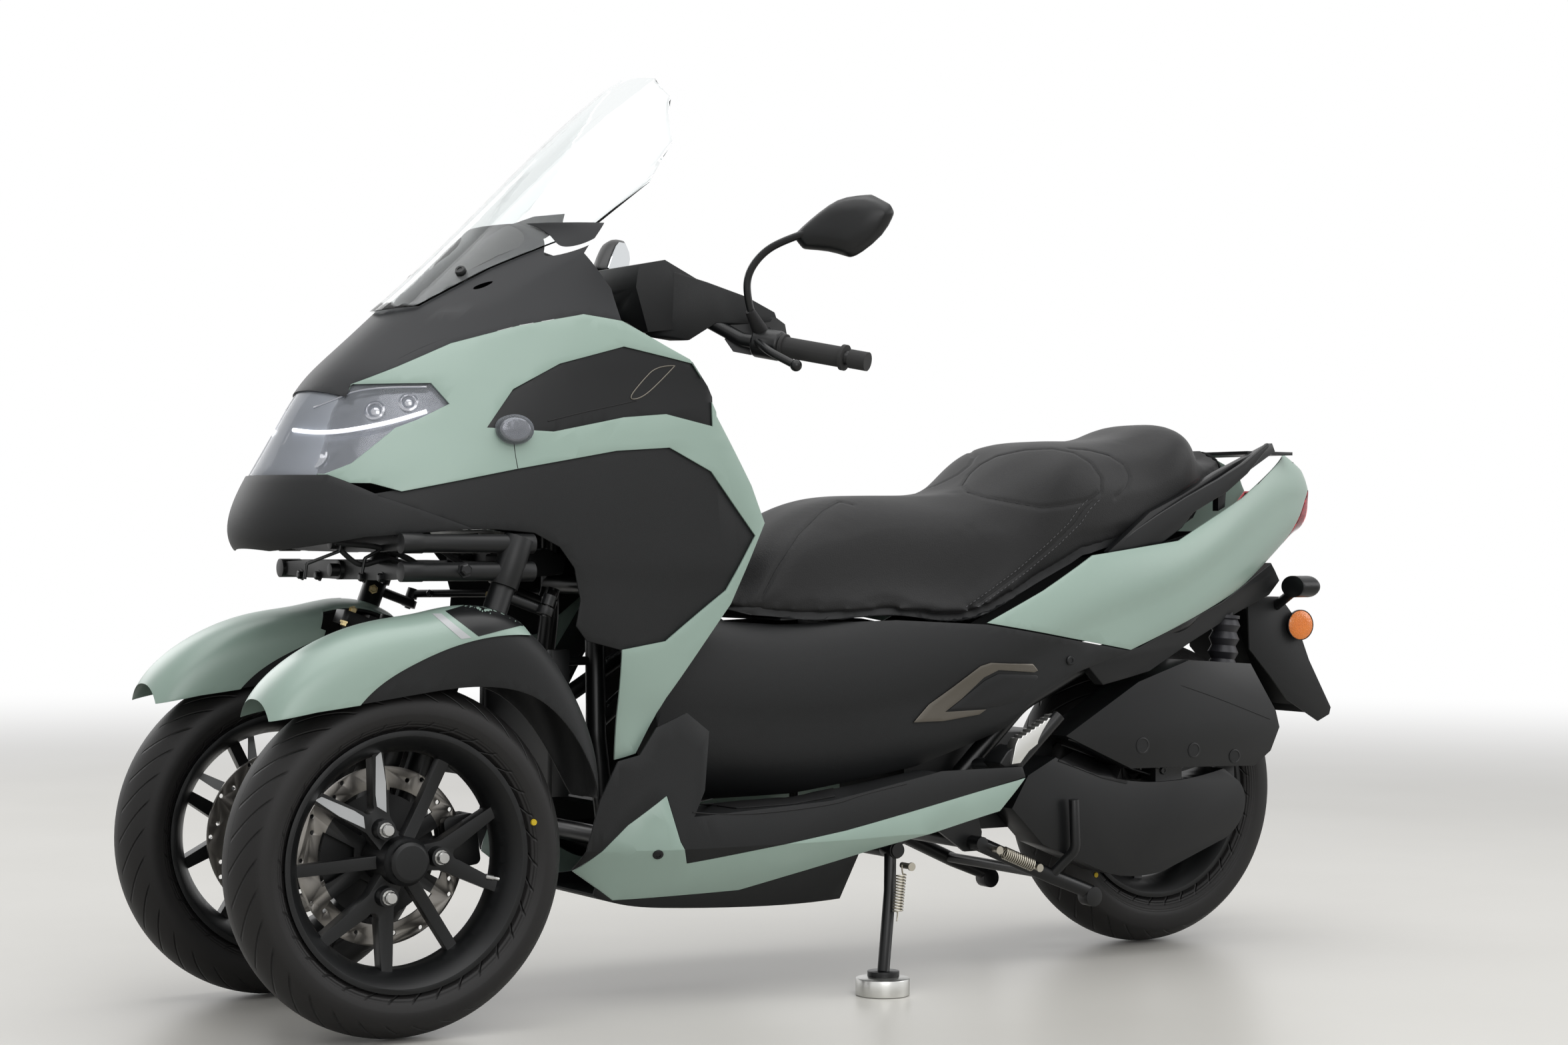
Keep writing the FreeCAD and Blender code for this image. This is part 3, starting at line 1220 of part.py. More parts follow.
stand_z = size("centre_pivot_height")
legs = pipe([point(-330, 136, stand_z), point(-480, 150, 150), point(-560, 152, 120)], 13, 40)
pedal = pipe([point(-474, 150, 152), point(-500, 188, 200), point(-494, 190, 287)], 9, 26)
bar = rod(point(-330, -149, stand_z), point(-330, 149, stand_z), 12)
foot_pad = Part.makeCylinder(17, 26, point(-560, 139, 112), Vector(0, 1, 0))
brace = rod(point(-466, -146, 156), point(-466, 146, 156), 9)
node("centre_stand", solid(bar.fuse([legs, mirrored(legs), pedal, brace, foot_pad, mirrored(foot_pad)])))

# Radiator behind the front wheels

core = block("22", "224", "214", point(460, -112, 338))
tank = block("30", "18.5", "230", point(456, 111.5, 330))
node("radiator", union([core, tank, mirror_of(tank)]))

# Tie rods from the stem's arm to the arms of the forks

for side, name in ((1, "left"), (-1, "right")):
    inner = stem_tip + Vector(0, side * pin_offset, 0)
    outer = axis_point(size("steer_arm_height"), side * half_track) - level * steer_arm
    outer = outer + Vector(0, side * pin_offset, 0)
    link = rod(inner + axis_up * 17, outer + axis_up * 17, size("tie_rod_radius"))
    for end in (inner, outer):
        link = link.fuse([rod(end - axis_up * 9, end + axis_up * 20, 5),
                          rod(end + axis_up * 9, end + axis_up * 25, 10)])
    node("tie_rod_" + name, solid(link))

doc.recompute()

faults = []
for made in doc.Objects:
    if "Invalid" in made.State or "Error" in made.State:
        faults.append("%s is in a failed state" % made.Label)
for made in parts:
    shape = made.Shape
    if shape.isNull() or not shape.isValid():
        faults.append("%s has no valid shape" % made.Label)
if faults:
    raise RuntimeError("; ".join(faults))

os.makedirs("parts", exist_ok=True)
for made in parts:
    made.Shape.exportStep("parts/%s.step" % made.Label)
    print(made.Label, len(made.Shape.Solids), round(made.Shape.Volume / 1000), "cm3")
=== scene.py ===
import json
import math
import bpy
from mathutils import Matrix, Vector
from mathutils.bvhtree import BVHTree
from mathutils.kdtree import KDTree


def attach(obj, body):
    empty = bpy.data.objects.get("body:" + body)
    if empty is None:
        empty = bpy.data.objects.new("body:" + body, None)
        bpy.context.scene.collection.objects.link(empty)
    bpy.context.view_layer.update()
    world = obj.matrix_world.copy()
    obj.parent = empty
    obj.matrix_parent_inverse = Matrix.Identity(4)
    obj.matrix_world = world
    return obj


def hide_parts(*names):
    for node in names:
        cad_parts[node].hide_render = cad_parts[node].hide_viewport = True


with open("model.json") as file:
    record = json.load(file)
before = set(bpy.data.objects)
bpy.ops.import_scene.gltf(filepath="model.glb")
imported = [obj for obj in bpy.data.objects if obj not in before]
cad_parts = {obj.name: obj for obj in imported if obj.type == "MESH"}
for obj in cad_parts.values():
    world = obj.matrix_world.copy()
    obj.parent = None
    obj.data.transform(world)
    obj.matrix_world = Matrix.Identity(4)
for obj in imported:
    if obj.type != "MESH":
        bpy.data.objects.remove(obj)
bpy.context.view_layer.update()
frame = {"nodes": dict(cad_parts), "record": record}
nodes = frame["nodes"]
bodyOf = {name: body for body, names in frame["record"]["behaviour"]["bodies"].items() for name in names}
wheelMiddle = 63.75  # mm from the middle of the wheelbase to the frame's origin


def spot(x, y, z):
    return Vector((x + wheelMiddle, y, z)) / 1000


# camera, floor and lights
camera = bpy.data.objects.new("camera", bpy.data.cameras.new("camera"))
bpy.context.collection.objects.link(camera)
camera.data.lens = 64.307
camera.data.sensor_width = 36
eye = spot(2496.54, 4026.72, 740.94)
right = Vector((-0.848029, 0.529926, 0.005111))
up = Vector((0.006732, 0.001128, 0.999977))
back = Vector((0.529908, 0.848043, -0.004523))
camera.matrix_world = Matrix((right, up, back)).transposed().to_4x4()
camera.location = eye
bpy.context.scene.camera = camera
bpy.context.scene.view_settings.view_transform = "Standard"


def srgb(text):
    # a colour as it looks on screen, turned into light values
    parts = [int(text[n:n + 2], 16) / 255 for n in (1, 3, 5)]
    return tuple(v / 12.92 if v <= 0.04045 else ((v + 0.055) / 1.055) ** 2.4 for v in parts) + (1.0,)


def addNode(tree, kind, links=None, **settings):
    node = tree.nodes.new("ShaderNode" + kind)
    for name, value in settings.items():
        if name.startswith("in_"):
            key = int(name[3:]) if name[3:].isdigit() else name[3:].replace("_", " ")
            node.inputs[key].default_value = value
        else:
            setattr(node, name, value)
    for socket, source in (links or {}).items():
        tree.links.new(source.outputs[0] if hasattr(source, "outputs") else source, node.inputs[socket])
    return node


def startMaterial(name):
    made = bpy.data.materials.new(name)
    made.use_nodes = True
    tree = made.node_tree
    tree.nodes.clear()
    place = addNode(tree, "TexCoord").outputs["Object"]
    return made, tree, addNode(tree, "OutputMaterial"), place


def grained(name, look):
    # an opaque finish: two near tones in soft clouds, and a grain of the size given in millimetres
    made, tree, out, place = startMaterial(name)
    cloud = addNode(tree, "TexNoise", {"Vector": place},
                    in_Scale=look.get("cloud", 6.0), in_Detail=4.0)
    colour = addNode(tree, "Mix", {0: cloud}, data_type="RGBA",
                     in_6=srgb(look["dark"]), in_7=srgb(look["light"]))
    if look.get("flake"):
        grain = addNode(tree, "TexVoronoi", {"Vector": place}, in_Scale=1000 / look["grainMm"])
    else:
        grain = addNode(tree, "TexNoise", {"Vector": place},
                        in_Scale=1000 / look["grainMm"], in_Detail=3.0)
    bump = addNode(tree, "Bump", {"Height": grain}, in_Strength=look.get("relief", 0.1),
                   in_Distance=look["grainMm"] / 2500)
    rough = addNode(tree, "MapRange", {"Value": cloud},
                    in_3=look["rough"] - 0.05, in_4=look["rough"] + 0.05)
    shader = addNode(tree, "BsdfPrincipled",
                     {"Base Color": colour.outputs[2], "Roughness": rough,
                      "Normal": bump},
                     in_Metallic=look.get("metal", 0.0), in_Coat_Weight=look.get("coat", 0.0),
                     in_Coat_Roughness=look.get("coatRough", 0.2),
                     in_Sheen_Weight=look.get("sheen", 0.0), in_Sheen_Roughness=0.4)
    if not look.get("metal"):
        shader.inputs["IOR"].default_value = look.get("ior", 1.5)
    tree.links.new(shader.outputs[0], out.inputs[0])
    return made


def clear(name, colour, rough, ior):
    # a solid clear plastic that light passes through
    made, tree, out, place = startMaterial(name)
    wave = addNode(tree, "TexNoise", {"Vector": place}, in_Scale=9.0)
    bump = addNode(tree, "Bump", {"Height": wave}, in_Strength=0.02,
                   in_Distance=0.002)
    shader = addNode(tree, "BsdfPrincipled", {"Normal": bump},
                     in_Base_Color=srgb(colour), in_Roughness=rough, in_IOR=ior,
                     in_Transmission_Weight=1.0)
    tree.links.new(shader.outputs[0], out.inputs[0])
    return made


finishes = {
    "sagePaint": (grained("sagePaintedAbs", {"dark": "#8ba096", "light": "#93a89d", "grainMm": 0.6,
                  "relief": 0.02, "rough": 0.36, "coat": 0.25, "coatRough": 0.35}), "green_paint"),
    "darkPaint": (grained("mattDarkGreyPaint", {"dark": "#202123", "light": "#28292b", "grainMm": 0.5,
                  "relief": 0.06, "rough": 0.5, "flake": True, "ior": 1.38}), "dark_paint"),
    "grainPlastic": (grained("mouldedBlackPolypropylene", {"dark": "#111213", "light": "#161718",
                     "grainMm": 1.2, "relief": 0.3, "rough": 0.52, "ior": 1.36}), "black_plastic"),
    "satinPlastic": (grained("satinBlackAbs", {"dark": "#0e0f10", "light": "#131415", "grainMm": 0.8,
                     "relief": 0.05, "rough": 0.34, "ior": 1.38}), "satin_plastic"),
    "powderCoat": (grained("powderCoatedCastAluminium", {"dark": "#0c0d0e", "light": "#111213",
                   "grainMm": 0.9, "relief": 0.12, "rough": 0.4, "ior": 1.38}), "cast_black"),
    "blackSteel": (grained("blackPaintedSteel", {"dark": "#0b0c0d", "light": "#101112",
                   "grainMm": 1.0, "relief": 0.05, "rough": 0.33, "ior": 1.4}), "black_steel"),
    "rubber": (grained("mouldedRubber", {"dark": "#0f0f10", "light": "#141415", "grainMm": 1.0,
               "relief": 0.15, "rough": 0.6, "ior": 1.36}), "rubber"),
    "stainless": (grained("groundStainless", {"dark": "#a7a7a5", "light": "#c2c2c0", "grainMm": 0.7,
                  "relief": 0.15, "rough": 0.3, "metal": 1.0}), "steel"),
    "zinc": (grained("zincPlatedSteel", {"dark": "#9a958a", "light": "#c0bbae", "grainMm": 1.0,
             "relief": 0.05, "rough": 0.32, "metal": 1.0}), "steel"),
    "aluminium": (grained("machinedAluminium", {"dark": "#c9c9c6", "light": "#dededb", "grainMm": 0.5,
                  "relief": 0.1, "rough": 0.3, "metal": 1.0}), "bare_aluminium"),
    "darkChrome": (grained("darkChromePlating", {"dark": "#5b5751", "light": "#6e6a63", "grainMm": 0.6,
                   "relief": 0.04, "rough": 0.3, "metal": 1.0}), "satin_plastic"),
    "brass": (grained("yellowPassivatedSteel", {"dark": "#a5946a", "light": "#c4b388", "grainMm": 0.6,
              "relief": 0.06, "rough": 0.3, "metal": 1.0}), "steel"),
    "chrome": (grained("vacuumMetalledReflector", {"dark": "#b8b8bc", "light": "#d2d2d6",
               "grainMm": 4.0, "relief": 0.08, "rough": 0.12, "metal": 1.0}), "lens"),
    # pale grey: a painted highlight on the front spokes, and the silver stripe on the fenders
    "silverFilm": (grained("silverFilm", {"dark": "#a9abad", "light": "#b9bbbd", "grainMm": 0.5,
                   "relief": 0.04, "rough": 0.3}), "steel"),
    "yellowDot": (grained("yellowPaintDot", {"dark": "#b59a12", "light": "#d4b81c", "grainMm": 1.0,
                  "relief": 0.1, "rough": 0.6}), "rubber"),
    "screen": (clear("clearPolycarbonate", "#f7fafa", 0.02, 1.3), "clear_screen"),
    "redLens": (clear("redAcrylicLens", "#c2122b", 0.08, 1.3), "red_lens"),
}

# the floor is pale concrete-grey paint near the trike and fades to the white background
made, tree, out, place = startMaterial("paleFloor")
reach = addNode(tree, "VectorMath", {0: place}, operation="LENGTH")
fade = addNode(tree, "MapRange", {"Value": reach.outputs["Value"]}, in_1=3.2, in_2=9.0)
fade.interpolation_type = "SMOOTHSTEP"
cloud = addNode(tree, "TexNoise", {"Vector": place}, in_Scale=1.7, in_Detail=6.0)
colour = addNode(tree, "Mix", {0: cloud}, data_type="RGBA", in_6=srgb("#c3c1bb"),
                 in_7=srgb("#cfcdc8"))
shader = addNode(tree, "BsdfPrincipled", {"Base Color": colour.outputs[2]}, in_Roughness=0.34)
white = addNode(tree, "Emission", in_Color=(1, 1, 1, 1), in_Strength=1.0)
ray = addNode(tree, "LightPath")
seen = addNode(tree, "Math", {0: ray.outputs["Is Camera Ray"], 1: ray.outputs["Is Glossy Ray"]},
               operation="MAXIMUM")
seen = addNode(tree, "Math", {0: seen, 1: ray.outputs["Is Transmission Ray"]},
               operation="MAXIMUM")
share = addNode(tree, "Math", {0: fade, 1: seen}, operation="MULTIPLY")
mixed = addNode(tree, "MixShader", {0: share, 1: shader, 2: white})
tree.links.new(mixed.outputs[0], out.inputs[0])
paleFloor = made

bpy.ops.object.select_all(action="DESELECT")
bpy.ops.mesh.primitive_circle_add(vertices=96, radius=40, fill_type="NGON", location=(0, 0, -0.0005))
floor = bpy.context.object
floor.name = "floor"
floor.data.materials.append(paleFloor)

world = bpy.data.worlds.new("studio")
bpy.context.scene.world = world
world.use_nodes = True
tree = world.node_tree
tree.nodes.clear()
ray = addNode(tree, "LightPath")
seen = addNode(tree, "Math", {0: ray.outputs["Is Camera Ray"], 1: ray.outputs["Is Glossy Ray"]},
               operation="MAXIMUM")
seen = addNode(tree, "Math", {0: seen, 1: ray.outputs["Is Transmission Ray"]},
               operation="MAXIMUM")
dim = addNode(tree, "Background", in_Color=(1, 1, 1, 1), in_Strength=0.42)
bright = addNode(tree, "Background", in_Color=(1, 1, 1, 1), in_Strength=1.0)
both = addNode(tree, "MixShader", {0: seen, 1: dim, 2: bright})
out = addNode(tree, "OutputWorld", {0: both})

lamps = {"overhead": ((0.2, 0.6, 3.6), (0, 0, 0.4), 4.2, 105),
         "leftSide": ((1.6, 4.4, 2.2), (0, 0, 0.5), 2.6, 55),
         "tailSide": ((-4.0, 2.2, 2.4), (-0.3, 0, 0.6), 2.2, 40),
         "farSide": ((1.5, -4.2, 2.6), (0, 0, 0.6), 2.6, 45)}
for name, (position, aim, width, power) in lamps.items():
    lamp = bpy.data.objects.new(name, bpy.data.lights.new(name, "AREA"))
    bpy.context.collection.objects.link(lamp)
    lamp.data.size = width
    lamp.data.energy = power
    lamp.location = position
    lamp.rotation_mode = "QUATERNION"
    lamp.rotation_quaternion = (Vector(aim) - Vector(position)).to_track_quat("-Z", "Y")
    lamp.visible_camera = False
print("camera, floor and lights are set")


# making and finishing pieces
def only(piece):
    bpy.ops.object.select_all(action="DESELECT")
    piece.select_set(True)
    bpy.context.view_layer.objects.active = piece


def openMesh(piece):
    only(piece)
    bpy.ops.object.mode_set(mode="EDIT")
    bpy.ops.mesh.select_all(action="SELECT")


def closeMesh():
    bpy.ops.object.mode_set(mode="OBJECT")


def apply(piece, kind, **settings):
    only(piece)
    change = piece.modifiers.new(kind.lower(), kind)
    for name, value in settings.items():
        setattr(change, name, value)
    bpy.ops.object.modifier_apply(modifier=change.name)


def finishPiece(piece, finish, body, smooth=32):
    only(piece)
    bpy.ops.object.transform_apply(location=True, rotation=True, scale=True)
    if smooth:
        bpy.ops.object.shade_smooth_by_angle(angle=math.radians(smooth))
    material, slot = finishes[finish]
    if not piece.data.materials:
        piece.data.materials.append(material)
    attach(piece, body)
    return piece


def copyOf(node, name):
    piece = nodes[node].copy()
    piece.data = nodes[node].data.copy()
    piece.name = name
    for key in list(piece.keys()):
        del piece[key]
    piece.parent = None
    piece.hide_render = piece.hide_viewport = False
    bpy.context.collection.objects.link(piece)
    piece.data.materials.clear()
    openMesh(piece)
    bpy.ops.mesh.remove_doubles(threshold=0.00001)
    bpy.ops.mesh.dissolve_limited(angle_limit=math.radians(0.5))
    bpy.ops.mesh.customdata_custom_splitnormals_clear()
    closeMesh()
    return piece


def dress(node, finish, edge=1.2, angle=32):
    piece = copyOf(node, node + "Skin")
    if edge:
        apply(piece, "BEVEL", width=edge / 1000, segments=2, limit_method="ANGLE",
              angle_limit=math.radians(angle), use_clamp_overlap=True, harden_normals=False)
    finishPiece(piece, finish, bodyOf[node], angle)
    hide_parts(node)
    return piece


def repaint(node, finish):
    material, slot = finishes[finish]
    cad = nodes[node]
    cad.data.materials.clear()
    cad.data.materials.append(material)
    for face in cad.data.polygons:
        face.material_index = 0


def tube(name, points, radius, finish, body, cyclic=False, order=3):
    curve = bpy.data.curves.new(name, "CURVE")
    curve.dimensions = "3D"
    curve.bevel_depth = radius / 1000
    curve.bevel_resolution = 3
    curve.use_fill_caps = True
    line = curve.splines.new("NURBS")
    line.points.add(len(points) - 1)
    for point, place in zip(line.points, points):
        point.co = (*place, 1)
    line.order_u = order
    line.use_endpoint_u = True
    line.use_cyclic_u = cyclic
    piece = bpy.data.objects.new(name, curve)
    bpy.context.collection.objects.link(piece)
    only(piece)
    bpy.ops.object.convert(target="MESH")
    piece = bpy.context.object
    return finishPiece(piece, finish, body, 50)


def spin(name, place, axis, rings, finish, body, around=32, smooth=40):
    axis = Vector(axis).normalized()
    side = axis.orthogonal().normalized()
    mesh = bpy.data.meshes.new(name)
    corners = [place + axis * along / 1000 + side * radius / 1000 for along, radius in rings]
    mesh.from_pydata(corners, [(n, n + 1) for n in range(len(corners) - 1)], [])
    piece = bpy.data.objects.new(name, mesh)
    bpy.context.collection.objects.link(piece)
    openMesh(piece)
    bpy.ops.mesh.spin(steps=around, angle=math.tau, center=place, axis=axis)
    bpy.ops.mesh.select_all(action="SELECT")
    bpy.ops.mesh.remove_doubles(threshold=0.00001)
    bpy.ops.mesh.normals_make_consistent(inside=False)
    closeMesh()
    return finishPiece(piece, finish, body, smooth)


def join(pieces, name):
    only(pieces[0])
    for piece in pieces:
        piece.select_set(True)
    bpy.ops.object.join()
    pieces[0].name = name
    return pieces[0]


surfaces = {}


def rayThrough(x, y):
    # the photograph is taken as 2352 x 1568 pixels
    return (-back * 4201.44 + right * (x - 1176) + up * (784 - y)).normalized()


def treeOf(mesh):
    return BVHTree.FromPolygons([v.co for v in mesh.vertices], [f.vertices[:] for f in mesh.polygons])


def onto(node, x, y, lift=0.0):
    # the place on a CAD node that the pixel shows, and which way the surface faces there
    if node not in surfaces:
        surfaces[node] = treeOf(nodes[node].data)
    way = rayThrough(x, y)
    place, facing, index, far = surfaces[node].ray_cast(eye, way)
    if place is None:
        for reach in range(1, 40):
            for turn in range(8):
                dx = math.cos(turn * math.tau / 8) * reach * 1.5
                dy = math.sin(turn * math.tau / 8) * reach * 1.5
                place, facing, index, far = surfaces[node].ray_cast(eye, rayThrough(x + dx, y + dy))
                if place:
                    break
            if place:
                break
    if place is None:
        raise ValueError("pixel %d, %d misses %s" % (x, y, node))
    if facing.dot(way) > 0:
        facing = -facing
    return place + facing * lift / 1000, facing


def across(x, y, lateral):
    # the place that a pixel shows at a given distance from the middle plane, in mm
    way = rayThrough(x, y)
    return eye + way * ((lateral / 1000 - eye.y) / way.y)


def bothSides(piece):
    only(piece)
    bpy.ops.object.duplicate()
    twin = bpy.context.object
    for vertex in twin.data.vertices:
        vertex.co.y = -vertex.co.y
    bpy.ops.object.mode_set(mode="EDIT")
    bpy.ops.mesh.select_all(action="SELECT")
    bpy.ops.mesh.flip_normals()
    closeMesh()
    return join([piece, twin], piece.name)


def plate(name, corners):
    # a flat piece between its corners, to be cut up and shaped
    mesh = bpy.data.meshes.new(name)
    mesh.from_pydata(corners, [], [list(range(len(corners)))])
    piece = bpy.data.objects.new(name, mesh)
    bpy.context.collection.objects.link(piece)
    return piece


def film(name, node, outline, finish, lift=0.3, thick=0.6, fine=3, twin=True, edge=0.0):
    # a thin piece that lies on a node, outlined by pixels of the photograph
    piece = plate(name, [(x, y, 0) for x, y in outline])
    openMesh(piece)
    bpy.ops.mesh.quads_convert_to_tris(ngon_method="BEAUTY")
    for step in range(fine):
        bpy.ops.mesh.subdivide(number_cuts=1)
    closeMesh()
    for vertex in piece.data.vertices:
        vertex.co = onto(node, vertex.co.x, vertex.co.y, lift)[0]
    openMesh(piece)
    bpy.ops.mesh.normals_make_consistent(inside=False)
    closeMesh()
    if sum((face.normal.dot(back) for face in piece.data.polygons)) < 0:
        piece.data.flip_normals()
    apply(piece, "SOLIDIFY", thickness=thick / 1000, offset=1)
    if edge:
        apply(piece, "BEVEL", width=edge / 1000, segments=2, limit_method="ANGLE", angle_limit=0.9)
    if twin:
        piece = bothSides(piece)
    return finishPiece(piece, finish, bodyOf[node], 40)


def seam(name, node, pixels, width, finish, twin=True, lift=0.0):
    places = [onto(node, x, y, lift)[0] for x, y in pixels]
    piece = tube(name, places, width / 2, finish, bodyOf[node])
    if twin:
        piece.parent = None
        piece = bothSides(piece)
        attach(piece, bodyOf[node])
    return piece


def button(name, node, pixel, radius, height, finish, twin=True, hollow=0.5):
    # a round fastener with a hollow in its head
    place, facing = onto(node, *pixel)
    rings = [(-1, 0), (-1, radius), (height * 0.6, radius), (height, radius * 0.82),
             (height, radius * hollow), (height - 1.2, radius * hollow * 0.9), (height - 1.2, 0)]
    piece = spin(name, place, facing, rings, finish, bodyOf[node], 24)
    if twin:
        piece.parent = None
        piece = bothSides(piece)
        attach(piece, bodyOf[node])
    return piece


def coil(name, start, end, radius, wire, turns, finish, body, straight=0.06):
    way = end - start
    side = way.orthogonal().normalized()
    other = way.normalized().cross(side)
    places = [start]
    count = int(turns * 12)
    for n in range(count + 1):
        turn = n / 12 * math.tau
        share = straight + (1 - 2 * straight) * n / count
        places.append(start + way * share + (side * math.cos(turn) + other * math.sin(turn)) * radius / 1000)
    places.append(end)
    return tube(name, places, wire / 2, finish, body)


def lump(name, corners, depth, way, finish, body, edge=6.0):
    # a moulded housing: a flat outline, pushed out along way, bevelled and rounded
    piece = plate(name, corners)
    openMesh(piece)
    move = Vector(way).normalized() * depth / 1000
    bpy.ops.mesh.extrude_region_move(TRANSFORM_OT_translate={"value": move})
    bpy.ops.mesh.select_all(action="SELECT")
    bpy.ops.mesh.normals_make_consistent(inside=False)
    closeMesh()
    apply(piece, "BEVEL", width=edge / 1000, segments=3, limit_method="ANGLE", angle_limit=0.5)
    return finishPiece(piece, finish, body, 35)


# panels and frame, from the CAD nodes
panels = {
    "upper_cowl": ("darkPaint", 2.0), "beak": ("grainPlastic", 2.0), "vent_panels": ("satinPlastic", 2.0),
    "side_panels": ("grainPlastic", 2.0), "side_fairings": ("sagePaint", 1.6),
    "meter_housing": ("grainPlastic", 3.0), "leg_shield": ("grainPlastic", 2.0),
    "floorboards": ("grainPlastic", 2.5), "lower_blades": ("sagePaint", 2.0),
    "belly_pan": ("grainPlastic", 2.0), "side_covers": ("grainPlastic", 2.0),
    "rear_covers": ("sagePaint", 2.0), "grab_rails": ("satinPlastic", 3.0),
    "rear_fender": ("grainPlastic", 2.0), "bar_cover": ("grainPlastic", 4.0),
    "fender_left": ("sagePaint", 1.2), "fender_right": ("sagePaint", 1.2),
    "mudguard_left": ("grainPlastic", 1.2), "mudguard_right": ("grainPlastic", 1.2),
    "levers": ("blackSteel", 1.5), "handlebar": ("blackSteel", 1.0),
    "rim_front_left": ("powderCoat", 2.0), "rim_front_right": ("powderCoat", 2.0),
    "rim_rear": ("powderCoat", 2.0), "tilt_linkage": ("powderCoat", 1.5),
    "fork_left": ("powderCoat", 1.5), "fork_right": ("powderCoat", 1.5),
    "drive_cover": ("satinPlastic", 5.0), "muffler": ("satinPlastic", 3.0),
    "centre_stand": ("blackSteel", 1.0), "side_stand": ("blackSteel", 1.0),
    "engine": ("powderCoat", 3.0), "radiator": ("powderCoat", 1.0),
    "stand_puck": ("aluminium", 2.0), "seat_base": ("grainPlastic", 1.0),
}
for node, (finish, edge) in panels.items():
    dress(node, finish, edge)
# the black liners stop short of the painted fenders' tips
for side in ("left", "right"):
    openMesh(bpy.data.objects["mudguard_%sSkin" % side])
    bpy.ops.mesh.bisect(plane_co=spot(968, 0, 480), plane_no=(1, 0, 0), clear_outer=True, use_fill=True)
    closeMesh()
for node, finish in {"storage_box": "grainPlastic", "main_frame": "blackSteel", "tie_rod_left": "blackSteel",
                     "tie_rod_right": "blackSteel",
                     "tail_lamp": "redLens"}.items():
    repaint(node, finish)
print("panels are dressed")


# wheels
wheels = {
    "front_left": {"middle": spot(797.5, 235, 262), "side": 1, "radius": 262, "half": 61, "rim": 50,
                   "dotTurn": 166},
    "front_right": {"middle": spot(797.5, -235, 262), "side": -1, "radius": 262, "half": 61, "rim": 50,
                    "dotTurn": 166},
    "rear": {"middle": spot(-797.5, 0, 276), "side": 1, "radius": 276, "half": 70, "rim": 56,
             "dotTurn": -42},
}
treadLook = {"pitches": 34, "sweep": -1.9, "sipe": 0.085, "rib": 0.13}


def treadRubber(name, wheel):
    # vulcanised rubber: matt and slightly warm, with sipes that sweep back from a plain middle rib; the
    # sipes and rib grooves carry painted shade, coloured near black
    made, tree, out, place = startMaterial(name)
    centred = addNode(tree, "Mapping", {"Vector": place},
                      in_Location=tuple(-wheel["middle"]))
    parts = addNode(tree, "SeparateXYZ", {0: centred})
    turn = addNode(tree, "Math", {0: parts.outputs[2], 1: parts}, operation="ARCTAN2")
    beside = addNode(tree, "Math", {0: parts.outputs[1]}, operation="ABSOLUTE")
    share = addNode(tree, "Math", {0: beside}, operation="MULTIPLY",
                    in_1=1000 / wheel["half"])
    bent = addNode(tree, "Math", {0: share}, operation="POWER", in_1=1.5)
    shift = addNode(tree, "Math", {0: bent}, operation="MULTIPLY", in_1=treadLook["sweep"])
    count = addNode(tree, "Math", {0: turn}, operation="MULTIPLY",
                    in_1=treadLook["pitches"] / math.tau)
    half = addNode(tree, "Math", {0: parts.outputs[1]}, operation="SIGN")
    half = addNode(tree, "Math", {0: half}, operation="MULTIPLY", in_1=0.25)
    along = addNode(tree, "Math", {0: count, 1: shift}, operation="ADD")
    along = addNode(tree, "Math", {0: along, 1: half}, operation="ADD")
    wave = addNode(tree, "Math", {0: along}, operation="PINGPONG", in_1=0.5)
    cutLine = addNode(tree, "MapRange", {"Value": wave}, in_1=0.0, in_2=treadLook["sipe"],
                      in_3=1.0, in_4=0.0)
    # sipes start beside the rib and end at the shoulder
    start = addNode(tree, "MapRange", {"Value": share}, in_1=0.16, in_2=0.22)
    end = addNode(tree, "MapRange", {"Value": share}, in_1=0.86, in_2=0.93,
                  in_3=1.0, in_4=0.0)
    sipe = addNode(tree, "Math", {0: cutLine, 1: start}, operation="MULTIPLY")
    sipe = addNode(tree, "Math", {0: sipe, 1: end}, operation="MULTIPLY")
    middle = addNode(tree, "Math", {0: share}, operation="COMPARE",
                     in_1=treadLook["rib"], in_2=0.022)
    flat = addNode(tree, "VectorMath", {0: centred}, operation="MULTIPLY",
                   in_1=(1, 0, 1))
    reach = addNode(tree, "VectorMath", {0: flat}, operation="LENGTH")
    ring = addNode(tree, "Math", {0: reach.outputs["Value"]}, operation="MULTIPLY", in_1=1000 / 4.5)
    ring = addNode(tree, "Math", {0: ring}, operation="PINGPONG", in_1=0.5)
    wall = addNode(tree, "MapRange", {"Value": reach.outputs["Value"]},
                   in_1=(wheel["radius"] - 60) / 1000, in_2=(wheel["radius"] - 56) / 1000, in_3=0.5,
                   in_4=0.0)
    ring = addNode(tree, "Math", {0: ring, 1: wall}, operation="MULTIPLY")
    grooveAndPaintedShade = addNode(tree, "Math", {0: sipe, 1: middle}, operation="MAXIMUM")
    depth = addNode(tree, "Math", {0: grooveAndPaintedShade, 1: ring}, operation="ADD")
    grit = addNode(tree, "TexNoise", {"Vector": place}, in_Scale=900.0)
    rough = addNode(tree, "Math", {0: grit}, operation="MULTIPLY", in_1=0.06)
    depth = addNode(tree, "Math", {0: depth, 1: rough}, operation="ADD")
    bump = addNode(tree, "Bump", {"Height": depth}, in_Strength=1.0, in_Distance=0.003)
    bump.invert = True
    # the grooves are coloured near black: painted shade in the recesses, on top of their bump
    colour = addNode(tree, "Mix", {0: grooveAndPaintedShade}, data_type="RGBA",
                     in_6=srgb("#171616"), in_7=srgb("#040404"))
    shader = addNode(tree, "BsdfPrincipled", {"Base Color": colour.outputs[2],
                     "Normal": bump}, in_Roughness=0.54, in_IOR=1.38)
    tree.links.new(shader.outputs[0], out.inputs[0])
    return made


